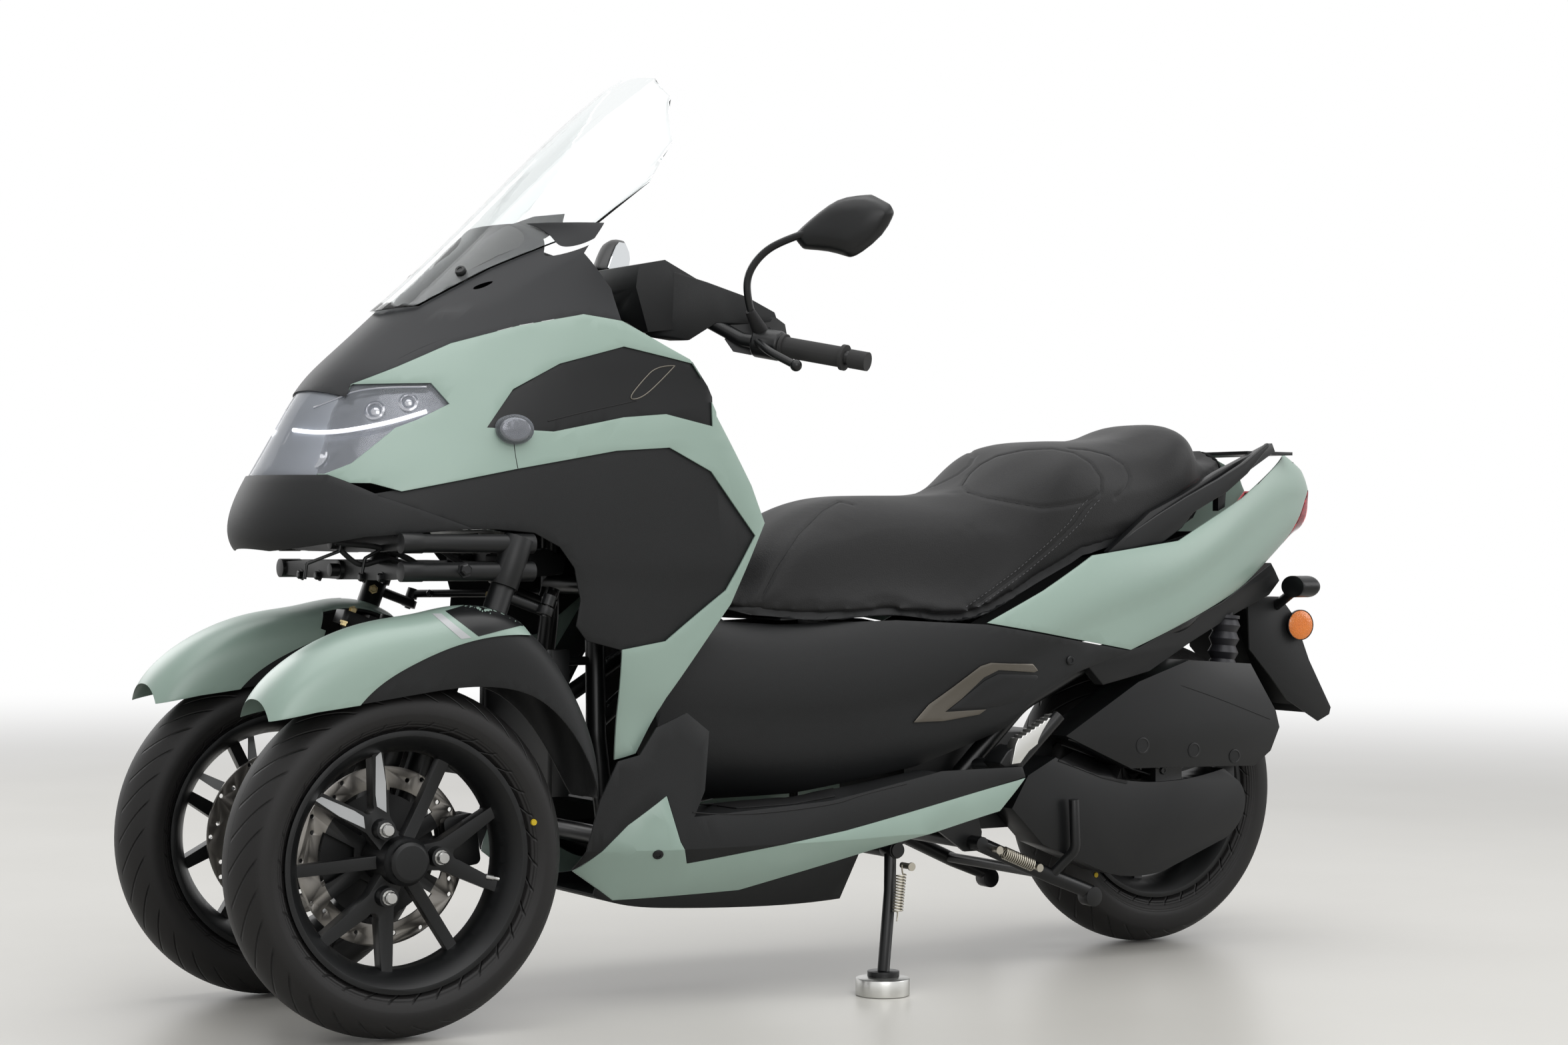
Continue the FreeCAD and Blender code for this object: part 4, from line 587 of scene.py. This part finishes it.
def discSteel(name, wheel):
    # ground stainless band with turning marks, on a black six-armed carrier
    made, tree, out, place = startMaterial(name)
    centred = addNode(tree, "Mapping", {"Vector": place},
                      in_Location=tuple(-wheel["middle"]))
    flat = addNode(tree, "VectorMath", {0: centred}, operation="MULTIPLY", in_1=(1, 0, 1))
    reach = addNode(tree, "VectorMath", {0: flat}, operation="LENGTH")
    ringSpot = addNode(tree, "CombineXYZ", {0: reach.outputs["Value"]})
    marks = addNode(tree, "TexNoise", {"Vector": ringSpot}, in_Scale=900.0, in_Detail=2.0)
    cloud = addNode(tree, "TexNoise", {"Vector": place}, in_Scale=14.0)
    bump = addNode(tree, "Bump", {"Height": marks}, in_Strength=0.25, in_Distance=0.0004)
    band = addNode(tree, "Math", {0: reach.outputs["Value"]}, operation="GREATER_THAN", in_1=0.098)
    steelColour = addNode(tree, "Mix", {0: cloud}, data_type="RGBA",
                          in_6=srgb("#6d6a66"), in_7=srgb("#8c8984"))
    colour = addNode(tree, "Mix", {0: band, 7: steelColour.outputs[2]}, data_type="RGBA",
                     in_6=srgb("#101112"))
    rough = addNode(tree, "MapRange", {"Value": band}, in_3=0.45, in_4=0.33)
    shader = addNode(tree, "BsdfPrincipled", {"Base Color": colour.outputs[2],
                     "Roughness": rough, "Metallic": band, "Normal": bump})
    tree.links.new(shader.outputs[0], out.inputs[0])
    return made


for name, wheel in wheels.items():
    body = "wheel_" + name
    middle, side = wheel["middle"], wheel["side"]
    radius, half = wheel["radius"], wheel["half"]
    outward = Vector((0, side, 0))
    finishes["tread_" + name] = (treadRubber("treadRubber_" + name, wheel), "tyre")
    finishes["disc_" + name] = (discSteel("discSteel_" + name, wheel), "steel")
    shoulder, tread = radius - 26, half * 0.93
    crown = (tread ** 2 + 26 ** 2) / 52
    widest = (shoulder + 192) / 2 + 4
    bead = wheel["rim"] - 7.3
    wallRings = [(bead - 3, 178.4), (bead, 186), (bead + 0.5, 193.5), (bead + 5, 196), (half - 8, 200),
                 (half - 3.5, (200 + widest) / 2 - 1), (half - 0.6, widest - 3), (half, widest),
                 (half - 0.8, (widest + shoulder) / 2), (tread + 1.6, shoulder - 4)]
    top = math.asin(tread / crown)
    crownRings = [(crown * math.sin(top * (1 - n / 9)), radius - crown * (1 - math.cos(top * (1 - n / 9))))
                  for n in range(19)]
    rings = [(y, r) for y, r in wallRings] + crownRings + [(-y, r) for y, r in reversed(wallRings)]
    rings.append(rings[0])
    tyre = spin("tyre_" + name + "Tread", middle, outward, rings, "tread_" + name, body, 120, 45)
    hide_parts("tyre_" + name)
    dress("disc_" + name, "disc_" + name, 0.4)
    # bright lug nuts with a domed end, on the axes of the forked spokes
    for order, turn in enumerate((57, 177, 297)):
        way = Vector((math.cos(math.radians(turn)), 0, math.sin(math.radians(turn))))
        foot = middle + way * 0.057
        spin("lugNut_%s_%d" % (name, order), foot, outward,
             [(36, 0), (36, 11), (38.2, 11), (38.2, 9.4), (46.5, 9.4), (48.6, 7.8), (49, 0)],
             "stainless", body, 12, 25)
    # valve stem on the rim's barrel
    way = Vector((math.cos(math.radians(193)), 0, math.sin(math.radians(193))))
    spin("valve_" + name, middle + way * 0.172 + outward * 0.018, -way,
         [(-6, 0), (-6, 4.5), (4, 4.5), (6, 3), (18, 3), (18, 4.2), (30, 4.2), (31, 3), (31, 0)],
         "stainless", body, 16)
    # yellow balance dot on the tyre wall
    turn = math.radians(wheel["dotTurn"])
    way = Vector((math.cos(turn), 0, math.sin(turn)))
    spin("dot_" + name, middle + way * (widest - 14) / 1000 + outward * (half - 4.5) / 1000, outward,
         [(0, 0), (0, 5), (2.6, 4.4), (2.8, 0)], "yellowDot", body, 16)
    if name == "rear":
        continue
    # painted highlight: a pale grey film on the outer faces of the upper forked spoke stands in for the
    # light those faces catch
    aim = math.radians(57)
    along = Vector((math.cos(aim), 0, math.sin(aim)))
    beside = Vector((-math.sin(aim), 0, math.cos(aim)))
    arms = []
    for way in (1, -1):
        corners = [(72, 20), (88, 12.5), (104, 20), (150, 50), (152, 61), (110, 43)]
        arm = plate("spokeFilm", [middle + (along * a + beside * b * way) / 1000 + outward * 0.01815
                                  for a, b in corners])
        apply(arm, "SOLIDIFY", thickness=0.0004, offset=0)
        arms.append(arm)
    finishPiece(join(arms, "spokeFilm_" + name), "silverFilm", body)
print("wheels are done")

# lamps, screen and mirrors
lampLook = {"deeper": 13.0, "stripRadius": 3.4}


def insideOf(node, name, finish, shrink, deeper=0):
    # the housing seen through a lens: the lens's own form, smaller all round or moved in behind a thin one
    piece = copyOf(node, name)
    openMesh(piece)
    if deeper:
        bpy.ops.transform.translate(value=(-deeper / 1000, 0, 0))
        bpy.ops.transform.resize(value=(1, 0.965, 0.97))
    else:
        bpy.ops.transform.shrink_fatten(value=-shrink / 1000)
    closeMesh()
    return finishPiece(piece, finish, bodyOf[node], 40)


def glowing(name, colour, strength):
    made, tree, out, place = startMaterial(name)
    cloud = addNode(tree, "TexNoise", {"Vector": place}, in_Scale=40.0)
    tone = addNode(tree, "Mix", {0: cloud}, data_type="RGBA",
                   in_6=srgb(colour), in_7=srgb("#ffffff"))
    shader = addNode(tree, "BsdfPrincipled", {"Base Color": tone.outputs[2],
                     "Emission Color": tone.outputs[2]}, in_Emission_Strength=strength, in_Roughness=0.3)
    tree.links.new(shader.outputs[0], out.inputs[0])
    return made


def seeThrough(name, tint, share, rough):
    # a thin moulded lens: mostly lets the inside show, with a clear gloss on top
    made, tree, out, place = startMaterial(name)
    wave = addNode(tree, "TexNoise", {"Vector": place}, in_Scale=30.0)
    bump = addNode(tree, "Bump", {"Height": wave}, in_Strength=0.03, in_Distance=0.001)
    edge = addNode(tree, "Fresnel", {"Normal": bump}, in_IOR=1.45)
    cover = addNode(tree, "MapRange", {"Value": edge}, in_3=share, in_4=1.0)
    shader = addNode(tree, "BsdfPrincipled", {"Alpha": cover, "Normal": bump},
                     in_Base_Color=srgb(tint), in_Roughness=rough, in_IOR=1.5)
    tree.links.new(shader.outputs[0], out.inputs[0])
    return made


finishes["ledStrip"] = (glowing("whiteLedDiffuser", "#eef2ff", 1.0), "lens")
finishes["thinLens"] = (seeThrough("clearThinLens", "#c9ced6", 0.12, 0.04), "lens")
finishes["reflector"] = (grained("smokedReflector", {
    "dark": "#38393d", "light": "#85878d", "grainMm": 16.0, "relief": 0.12, "rough": 0.2,
    "metal": 1.0, "cloud": 14.0}), "lens")
finishes["amberReflex"] = (grained("amberReflexAcrylic", {
    "dark": "#d9690f", "light": "#f08a24", "grainMm": 3.0, "relief": 0.5, "rough": 0.2,
    "flake": True, "coat": 0.5, "cloud": 30.0}), "lens")
finishes["mirrorGlass"] = (grained("silveredGlass", {
    "dark": "#c6cacd", "light": "#d0d4d7", "grainMm": 2.0, "relief": 0.0, "rough": 0.06,
    "metal": 1.0}), "steel")

dress("headlamp", "thinLens", 1.0)
insideOf("headlamp", "headlampHousing", "reflector", 0, lampLook["deeper"])
strip = [onto("headlamp", x, y, -0.5)[0] for x, y in
         ((440, 645), (465, 649), (505, 648), (549, 641), (600, 630), (640, 617))]
bothSides(tube("dayStrip", strip, lampLook["stripRadius"], "ledStrip", "body"))
bothSides(tube("lampBrow", [onto("headlamp", x, y, -1.0)[0] for x, y in
               ((470, 611), (500, 600), (530, 586), (581, 580), (640, 580))], 1.6, "chrome", "body"))
for order, (x, y, size) in enumerate(((470, 682, 17), (560, 612, 13), (612, 600, 12))):
    place, facing = onto("headlamp", x, y, -9)
    bothSides(spin("projector_%d" % order, place, facing,
                   [(-6, 0), (-6, size + 3), (2, size + 3), (3, size), (1, size * 0.92), (3.5, size * 0.7),
                    (5.5, size * 0.35), (6, 0)], "chrome", "body", 32))

dress("windscreen", "screen", 0.8)
button("screenBolt", "windscreen", (691, 407), 9, 5, "satinPlastic", True, 0.45)

dress("tail_lamp", "redLens", 1.0)
insideOf("tail_lamp", "tailLampHousing", "chrome", 6.0)

pods = dress("indicators", "thinLens", 0.6)
podInside = insideOf("indicators", "indicatorReflector", "reflector", 4.0)
# the rear pair are smoked black pods
black = finishes["satinPlastic"][0]
for piece in (pods, podInside):
    piece.data.materials.append(black)
    for face in piece.data.polygons:
        if face.center.x < 0:
            face.material_index = 1
print("lamps and screen are done")

# mirror heads: five-sided pods on bent stems, wider across than deep
mirrorLook = {"outline": [(1194, 355), (1217, 333), (1249, 308), (1270, 298), (1309, 295), (1336, 309),
                          (1342, 321), (1327, 353), (1291, 381), (1277, 386), (1247, 376), (1209, 374)],
              "layers": [(14, (1.04, 1.04, 1.06)), (14, (0.86, 0.86, 0.84)), (8, (0.6, 0.6, 0.55))]}
glassWay = Vector((-0.72, -0.69, 0.0)).normalized()
anchor = spot(111, 358, 1217)
corners = []
for x, y in mirrorLook["outline"]:
    way = rayThrough(x, y)
    corners.append(eye + way * ((anchor - eye).dot(glassWay) / way.dot(glassWay)))
head = plate("mirrorHeads", corners)
openMesh(head)
for depth, spread in mirrorLook["layers"]:
    bpy.ops.mesh.extrude_region_move(TRANSFORM_OT_translate={"value": -glassWay * depth / 1000})
    bpy.ops.transform.resize(value=spread)
bpy.ops.mesh.select_all(action="SELECT")
bpy.ops.mesh.normals_make_consistent(inside=False)
closeMesh()
apply(head, "BEVEL", width=0.004, segments=2, limit_method="ANGLE", angle_limit=0.5)
apply(head, "SUBSURF", levels=1, render_levels=1)
finishPiece(head, "satinPlastic", "steering", 60)
glass = plate("mirrorGlass", [c + (anchor - c) * 0.09 + glassWay * 0.001 for c in corners])
apply(glass, "SOLIDIFY", thickness=0.002, offset=0)
finishPiece(glass, "mirrorGlass", "steering", 30)
stem = tube("mirrorStems", [spot(200, 257, 1082), spot(214, 262, 1110), spot(218, 266, 1150),
                            spot(200, 285, 1185), spot(178, 318, 1203), spot(158, 345, 1212)],
            6, "blackSteel", "steering")
sleeve = spin("mirrorSleeves", spot(172, 246, 1052), (32, 13, 36),
              [(0, 0), (0, 12), (20, 12.5), (34, 10.5), (52, 8.5), (58, 7), (58, 0)],
              "rubber", "steering", 24)
heads = bothSides(join([head, stem], "mirrorHeads"))
bothSides(glass)
bothSides(sleeve)
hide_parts("mirrors")
print("mirrors are done")

# seat
seatLook = {"voxel": 7.0, "swell": 3.5, "seamDepth": 2.2, "stitch": 5.0}


def vinyl():
    # expanded vinyl: embossed grain about 1.5 mm across, with a soft sheen
    made, tree, out, place = startMaterial("embossedBlackVinyl")
    grain = addNode(tree, "TexVoronoi", {"Vector": place}, in_Scale=480.0)
    cloud = addNode(tree, "TexNoise", {"Vector": place}, in_Scale=5.0, in_Detail=3.0)
    fold = addNode(tree, "TexNoise", {"Vector": place}, in_Scale=22.0, in_Detail=2.0)
    colour = addNode(tree, "Mix", {0: cloud}, data_type="RGBA",
                     in_6=srgb("#101011"), in_7=srgb("#171718"))
    soft = addNode(tree, "Bump", {"Height": fold}, in_Strength=0.12, in_Distance=0.004)
    bump = addNode(tree, "Bump", {"Height": grain, "Normal": soft},
                   in_Strength=0.5, in_Distance=0.0004)
    rough = addNode(tree, "MapRange", {"Value": cloud}, in_3=0.5, in_4=0.62)
    shader = addNode(tree, "BsdfPrincipled", {"Base Color": colour.outputs[2],
                     "Roughness": rough, "Normal": bump},
                     in_Sheen_Weight=0.08, in_Sheen_Roughness=0.4, in_IOR=1.38)
    tree.links.new(shader.outputs[0], out.inputs[0])
    return made


finishes["vinyl"] = (vinyl(), "seat_cover")
finishes["thread"] = (grained("greyPolyesterThread", {"dark": "#4a4a4c", "light": "#5c5c5e", "grainMm": 0.8,
                      "relief": 0.4, "rough": 0.7}), "seat_cover")
seat = copyOf("seat", "seatCushion")
apply(seat, "REMESH", mode="VOXEL", voxel_size=seatLook["voxel"] / 1000)
apply(seat, "SMOOTH", factor=0.5, iterations=4)
# the cover is drawn tight over the foam: a short cloth run with pressure, capped at a few millimetres
rest = [v.co.copy() for v in seat.data.vertices]
only(seat)
cloth = seat.modifiers.new("cover", "CLOTH")
cloth.settings.use_pressure = True
cloth.settings.uniform_pressure_force = 4
cloth.settings.effector_weights.gravity = 0
cloth.settings.quality = 4
cloth.point_cache.frame_start, cloth.point_cache.frame_end = 1, 8
for step in range(1, 9):
    bpy.context.scene.frame_set(step)
bpy.ops.object.modifier_apply(modifier=cloth.name)
bpy.context.scene.frame_set(1)
for vertex, start in zip(seat.data.vertices, rest):
    move = vertex.co - start
    if move.length > seatLook["swell"] / 1000:
        vertex.co = start + move.normalized() * seatLook["swell"] / 1000
apply(seat, "SMOOTH", factor=0.5, iterations=2)
apply(seat, "SUBSURF", levels=1, render_levels=1)
surfaces["seatCushion"] = treeOf(seat.data)
seams = {
    "back": [(1443, 728), (1454, 711), (1470, 697), (1495, 684), (1536, 675), (1579, 673), (1611, 679),
             (1636, 694), (1652, 717), (1651, 738), (1633, 751), (1595, 759), (1563, 762), (1519, 754),
             (1476, 746), (1451, 738), (1443, 728)],
    "arc": [(1604, 673), (1633, 675), (1664, 683), (1686, 697), (1694, 715), (1690, 730), (1672, 748)],
    "sideA": [(1640, 750), (1626, 764), (1612, 785), (1579, 817), (1536, 854), (1492, 887), (1452, 915)],
    "pillion": [(1850, 680), (1839, 689), (1812, 711), (1790, 729), (1774, 742), (1745, 765)],
    "front": [(1280, 757), (1259, 752), (1233, 767), (1198, 802), (1165, 852), (1140, 900)],
}


def densely(pixels, gap):
    # points a few millimetres apart along a line of pixels, on the seat, with the way the cover faces
    found = []
    for (x0, y0), (x1, y1) in zip(pixels, pixels[1:]):
        steps = max(1, int(math.hypot(x1 - x0, y1 - y0) / gap))
        for n in range(steps):
            found.append((x0 + (x1 - x0) * n / steps, y0 + (y1 - y0) * n / steps))
    return [onto("seatCushion", x, y) for x, y in found]


sunk = []
for pixels in seams.values():
    sunk += [place for place, facing in densely(pixels, 2.5)]
sunk += [Vector((place.x, -place.y, place.z)) for place in sunk]
near = KDTree(len(sunk))
for n, place in enumerate(sunk):
    near.insert(place, n)
near.balance()
for vertex in seat.data.vertices:
    far = near.find(vertex.co)[2] * 1000
    if far < 7:
        vertex.co = vertex.co - vertex.normal * seatLook["seamDepth"] / 1000 * (1 - far / 7)
finishPiece(seat, "vinyl", "seat_lid", 60)
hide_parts("seat")
surfaces["seatCushion"] = treeOf(seat.data)
for name, pixels in seams.items():
    places = [place - facing * 0.0004 for place, facing in densely(pixels, 8)]
    line = tube("seatSeam_" + name, places, 0.8, "rubber", "seat_lid")
    if name != "back":
        bothSides(line)
# double stitching beside the side seam
stitches = []
for shift in (-9, 9):
    pixels = [(x + shift, y) for x, y in seams["sideA"]]
    run = densely(pixels, 3.4)
    for (place, facing), (after, _) in zip(run[::2], run[1::2]):
        stitches.append(tube("stitch", [place + facing * 0.0003, (place + after) / 2 + facing * 0.0008,
                                        after + facing * 0.0003], 0.55, "thread", "seat_lid"))
bothSides(join(stitches, "seatStitches"))
print("seat is done")

# trims, films and fasteners on the body
film("sideTrim", "side_covers",
     [(1369, 1084), (1392, 1057), (1429, 1030), (1470, 999), (1485, 994), (1548, 996), (1556, 1006),
      (1550, 1009), (1497, 1005), (1475, 1016), (1442, 1048), (1417, 1068), (1479, 1064), (1468, 1072),
      (1414, 1082)], "darkChrome", 0.3, 3.0, 2, True, 1.0)
film("sideInsert", "side_covers",
     [(1423, 1065), (1444, 1048), (1477, 1021), (1497, 1011), (1554, 1013), (1557, 1016), (1539, 1039),
      (1521, 1053), (1498, 1059), (1481, 1062)], "satinPlastic", 0.2, 1.2, 2, True, 0.5)
button("coverBolt", "side_covers", (1605, 991), 8, 4, "satinPlastic")
button("bladePlug", "lower_blades", (987, 1282), 8.5, 3, "satinPlastic")
film("fenderPatch", "fender_left", [(668, 917), (698, 908), (726, 900), (746, 904), (767, 915), (785, 938),
     (752, 946), (718, 955), (692, 935)], "satinPlastic", 0.2, 0.3, 3, False)
film("fenderStripe", "fender_left", [(648, 921), (662, 921), (684, 939), (707, 957), (692, 959), (670, 940)],
     "silverFilm", 0.2, 0.3, 3, False)
for name in ("fenderPatch", "fenderStripe"):
    piece = bpy.data.objects[name]
    only(piece)
    bpy.ops.object.duplicate()
    twin = bpy.context.object
    twin.name = name + "Right"
    for vertex in twin.data.vertices:
        vertex.co.y = -vertex.co.y
    twin.data.flip_normals()
    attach(twin, "fork_right_turn")
seam("ventSlash", "vent_panels", [(1012, 549), (986, 548), (962, 573), (941, 600), (962, 598), (989, 574),
     (1012, 549)], 2.4, "darkChrome", True, 0.4)
seam("ventLine", "vent_panels", [(822, 632), (868, 620), (915, 610), (955, 601)], 2.0, "rubber", True, 0.2)
seam("fairingSeam", "side_fairings", [(771, 665), (773, 686), (778, 704)], 1.2, "rubber")
button("beltPlug", "drive_cover", (1714, 1119), 15, 1.4, "satinPlastic", False, 0.86)
button("beltPlug2", "drive_cover", (1791, 1126), 14, 1.4, "satinPlastic", False, 0.86)
button("beltPlug3", "drive_cover", (1852, 1135), 13, 1.4, "satinPlastic", False, 0.86)
button("beltBolt", "drive_cover", (1744, 1156), 7, 4, "blackSteel", False)
seam("airSeam", "drive_cover", [(1704, 1016), (1747, 1020), (1812, 1042), (1866, 1063), (1905, 1079)], 1.6,
     "rubber", False)
seam("ribA", "drive_cover", [(1602, 1108), (1660, 1127), (1738, 1152)], 5, "satinPlastic", False, 0.6)
seam("ribB", "drive_cover", [(1593, 1120), (1649, 1138), (1725, 1162)], 5, "satinPlastic", False, 0.6)
print("trims are done")

def frontmost(x, y):
    # the nearest CAD node under a pixel, with the place and facing there
    hits = []
    for node in bodyOf:
        if node not in surfaces:
            surfaces[node] = treeOf(nodes[node].data)
        for reach in range(0, 32, 4):
            turn = reach * 0.9
            way = rayThrough(x + reach * math.cos(turn), y + reach * math.sin(turn))
            place, facing, index, far = surfaces[node].ray_cast(eye, way)
            if place:
                hits.append((reach, far, node, place, facing))
                break
    reach, far, node, place, facing = min(hits, key=lambda hit: hit[:2])
    return node, place, facing if facing.dot(rayThrough(x, y)) < 0 else -facing


def slab(name, look):
    # a moulded piece beside the middle plane: pixels of its outline, each at a distance from that plane
    laterals = look["lateral"]
    if not isinstance(laterals, list):
        laterals = [laterals] * len(look["pixels"])
    corners = [across(x, y, lateral) for (x, y), lateral in zip(look["pixels"], laterals)]
    piece = lump(name, corners, look["depth"], look.get("way", (0, -1, 0)), look["finish"], look["body"],
                 look.get("edge", 3.0))
    piece.parent = None
    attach(bothSides(piece), look["body"])


# a stiff pan closes the cushion from below and ends just above the side covers
pan = copyOf("seat", "seatPan")
openMesh(pan)
bpy.ops.transform.shrink_fatten(value=-0.006)
bpy.ops.transform.translate(value=(0, 0, -0.0115))
closeMesh()
finishPiece(pan, "grainPlastic", "seat_lid", 40)

# black strip under the painted tail
tailStrip = {"pixels": [(1644, 974), (1682, 976), (1709, 971), (1758, 944), (1834, 903), (1907, 844),
                        (1912, 855), (1920, 871), (1904, 893), (1866, 914), (1834, 931), (1779, 969),
                        (1725, 1007), (1693, 1017), (1655, 1028), (1633, 1001)],
             "depth": 26, "finish": "grainPlastic", "body": "body", "edge": 2.0}
tailStrip["lateral"] = [onto("rear_covers", x, y - 8)[0].y * 1000 - 4 for x, y in tailStrip["pixels"][:7]]
tailStrip["lateral"] += [tailStrip["lateral"][n] for n in (6, 6, 5, 5, 4, 3, 2, 1, 0)]
slab("tailStrip", tailStrip)

# the wide blades of the grab rails
slab("grabBlades", {"pixels": [(1663, 827), (1704, 795), (1736, 773), (1779, 746), (1828, 719), (1866, 695),
                               (1904, 664), (1905, 670), (1872, 711), (1842, 738), (1790, 770), (1774, 792),
                               (1736, 822), (1704, 833)],
                    "lateral": 177, "depth": 11, "finish": "satinPlastic", "body": "body", "edge": 3.0})

# arms of the bar cover and the switch housings at their ends
slab("barCoverArms", {"pixels": [(985, 402), (1011, 406), (1064, 423), (1123, 445), (1164, 468), (1170, 486),
                                 (1129, 488), (1076, 486), (1035, 512), (1000, 506), (984, 480)],
                      "lateral": [136, 150, 180, 210, 235, 240, 216, 188, 160, 146, 136],
                      "way": (0.5, -0.5, 0), "depth": 34, "finish": "grainPlastic", "body": "steering",
                      "edge": 5.0})
slab("switchPods", {"pixels": [(1128, 486), (1164, 474), (1180, 486), (1184, 508), (1162, 535), (1136, 530),
                               (1122, 510)],
                    "lateral": [214, 236, 246, 250, 240, 224, 214], "way": (0.6, -0.4, 0), "depth": 40,
                    "finish": "satinPlastic", "body": "steering", "edge": 4.0})
for order, (x, y, size) in enumerate(((1140, 500, 5), (1153, 494, 4), (1163, 507, 5))):
    bothSides(spin("switchButton_%d" % order, across(x, y, 232), Vector((-0.35, 0.9, 0.2)),
                   [(-12, 0), (-12, size), (0, size), (2, size * 0.7), (2, 0)], "rubber", "steering", 16))

# brake hoses, their wire guides and the bracket that carries them, in front of the tilt linkage
hoses = {"hoseA": ([(503, 814), (530, 817), (561, 819), (599, 831), (630, 848), (652, 868)], 150, 4.5),
         "hoseB": ([(580, 806), (614, 804), (645, 814), (676, 835), (706, 856), (716, 870)], 120, 4.5),
         "hoseC": ([(507, 821), (522, 837), (542, 850), (565, 842), (591, 837), (612, 850)], 140, 4.0),
         "hoseD": ([(690, 850), (706, 864), (725, 868), (744, 862), (762, 850)], 120, 5.0),
         "hoseE": ([(560, 812), (572, 796), (600, 790), (640, 792), (690, 806), (712, 830)], 90, 3.5)}
for name, (pixels, lateral, radius) in hoses.items():
    tube(name, [across(x, y, lateral) for x, y in pixels], radius, "rubber", "body")
guides = {"guideA": [(457, 869), (460, 846), (509, 827), (511, 814)],
          "guideB": [(543, 861), (547, 838), (584, 817), (583, 806)]}
for name, pixels in guides.items():
    tube(name, [across(x, y, 150) for x, y in pixels], 2.6, "blackSteel", "body", order=2)
slab("linkBracket", {"pixels": [(645, 796), (729, 794), (786, 804), (773, 827), (756, 810), (729, 821),
                                (718, 800), (649, 806)],
                     "lateral": 118, "depth": 3, "finish": "aluminium", "body": "body", "edge": 0.6})
slab("ductBox", {"pixels": [(748, 832), (821, 822), (850, 836), (846, 862), (800, 866), (748, 866)],
                 "lateral": 96, "depth": 50, "finish": "grainPlastic", "body": "body", "edge": 4.0})
# hexagon bolts of the linkage and the forks, the first ones passivated
linkBolts = {"pixels": [(529, 916), (517, 934), (560, 884), (697, 856), (455, 874), (545, 866), (640, 884)],
             "sizes": [6, 6, 6, 9, 7, 7, 5], "bright": 3,
             "otherSide": {"fork_left_turn": "fork_right_turn", "fork_right_turn": "fork_left_turn",
                           "tie_left": "tie_right", "tie_right": "tie_left"}}
for order, ((x, y), size) in enumerate(zip(linkBolts["pixels"], linkBolts["sizes"])):
    node, place, facing = frontmost(x, y)
    finish = "brass" if order < linkBolts["bright"] else "blackSteel"
    rings = [(-2, 0), (-2, size * 1.3), (1, size * 1.3), (1, size), (size * 0.9, size),
             (size * 1.1, size * 0.7), (size * 1.1, 0)]
    twinBody = linkBolts["otherSide"].get(bodyOf[node], bodyOf[node])
    for side, body in ((1, bodyOf[node]), (-1, twinBody)):
        spin("linkBolt_%d_%d" % (order, side), Vector((place.x, place.y * side, place.z)),
             Vector((facing.x, facing.y * side, facing.z)), rings, finish, body, 6, 20)

# passenger pegs: folded, with a serrated edge
teeth = [(1524, 1117)]
for n in range(9):
    teeth += [(1528 + n * 6.4, 1108 - n * 4.4), (1533 + n * 6.4, 1108 - n * 4.4)]
slab("pegs", {"pixels": teeth + [(1589, 1071), (1590, 1082), (1585, 1093), (1544, 1127), (1531, 1145),
                                 (1518, 1147)],
              "lateral": 232, "depth": 24, "finish": "aluminium", "body": "body", "edge": 1.0})
slab("pegHangers", {"pixels": [(1512, 1128), (1526, 1118), (1540, 1130), (1534, 1150), (1512, 1158),
                               (1500, 1146)],
                    "lateral": 226, "depth": 50, "finish": "powderCoat", "body": "body", "edge": 3.0})

# springs of the stands
coil("sideSpring", across(1353, 1298, 262), across(1345, 1382, 262), 8, 2.6, 13, "zinc", "side_leg", 0.16)
coil("centreSpring", spot(-352, 162, 205), spot(-432, 170, 171), 10, 3.0, 15, "zinc", "centre_leg", 0.14)
for name, place, body in (("sideSpringPin", across(1353, 1298, 240), "side_leg"),
                          ("centreSpringPin", spot(-352, 140, 205), "centre_leg"),
                          ("centreSpringHook", spot(-432, 148, 171), "centre_leg")):
    spin(name, place, Vector((0, 1, 0)),
         [(0, 0), (0, 5), (26, 5), (26, 7), (29, 7), (29, 0)], "zinc", body, 20)

# amber side reflectors on a stem at the rear fender
for side in (1, -1):
    middle = spot(-1100, 92 * side, 578)
    spin("amberReflector_%d" % side, middle, Vector((0.12, side, 0)),
         [(0, 0), (0, 27), (5, 27), (7.5, 24), (8.2, 12), (8.4, 0)], "amberReflex", "body", 48)
    spin("reflectorCup_%d" % side, middle, Vector((0.12, side, 0)),
         [(-4, 0), (-4, 25), (0.4, 28.5), (5.6, 28.5), (5.6, 27.2), (0, 27.2), (0, 0)],
         "satinPlastic", "body", 48)

# lines and pads
seam("cowlSeam", "upper_cowl", [(523, 581), (568, 555), (632, 520), (708, 495), (785, 479), (874, 472)],
     1.2, "rubber")
seam("tailSeam", "rear_covers", [(1942, 692), (1920, 695), (1899, 703), (1877, 717)], 1.4, "rubber")
film("driveSlot", "drive_cover",
     [(1591, 1131), (1617, 1137), (1682, 1158), (1695, 1164), (1690, 1176), (1655, 1168), (1617, 1153),
      (1587, 1142)], "rubber", 0.2, 1.0, 2, False)
film("floorPads", "floorboards", [(1046, 1206), (1136, 1201), (1248, 1178), (1253, 1196), (1187, 1208),
     (1105, 1214)], "rubber", 0.3, 1.6, 2, True, 0.4)
seam("floorLines", "floorboards", [(1039, 1219), (1080, 1223), (1156, 1220), (1258, 1206), (1289, 1193),
     (1360, 1176)], 2.0, "rubber", True, 0.2)
film("innerGarnish", "windscreen", [(655, 440), (683, 412), (746, 380), (817, 354), (841, 338), (846, 318),
     (800, 322), (753, 338), (721, 358), (683, 388)], "satinPlastic", -7.0, 1.2, 3, True)
print("details are done")
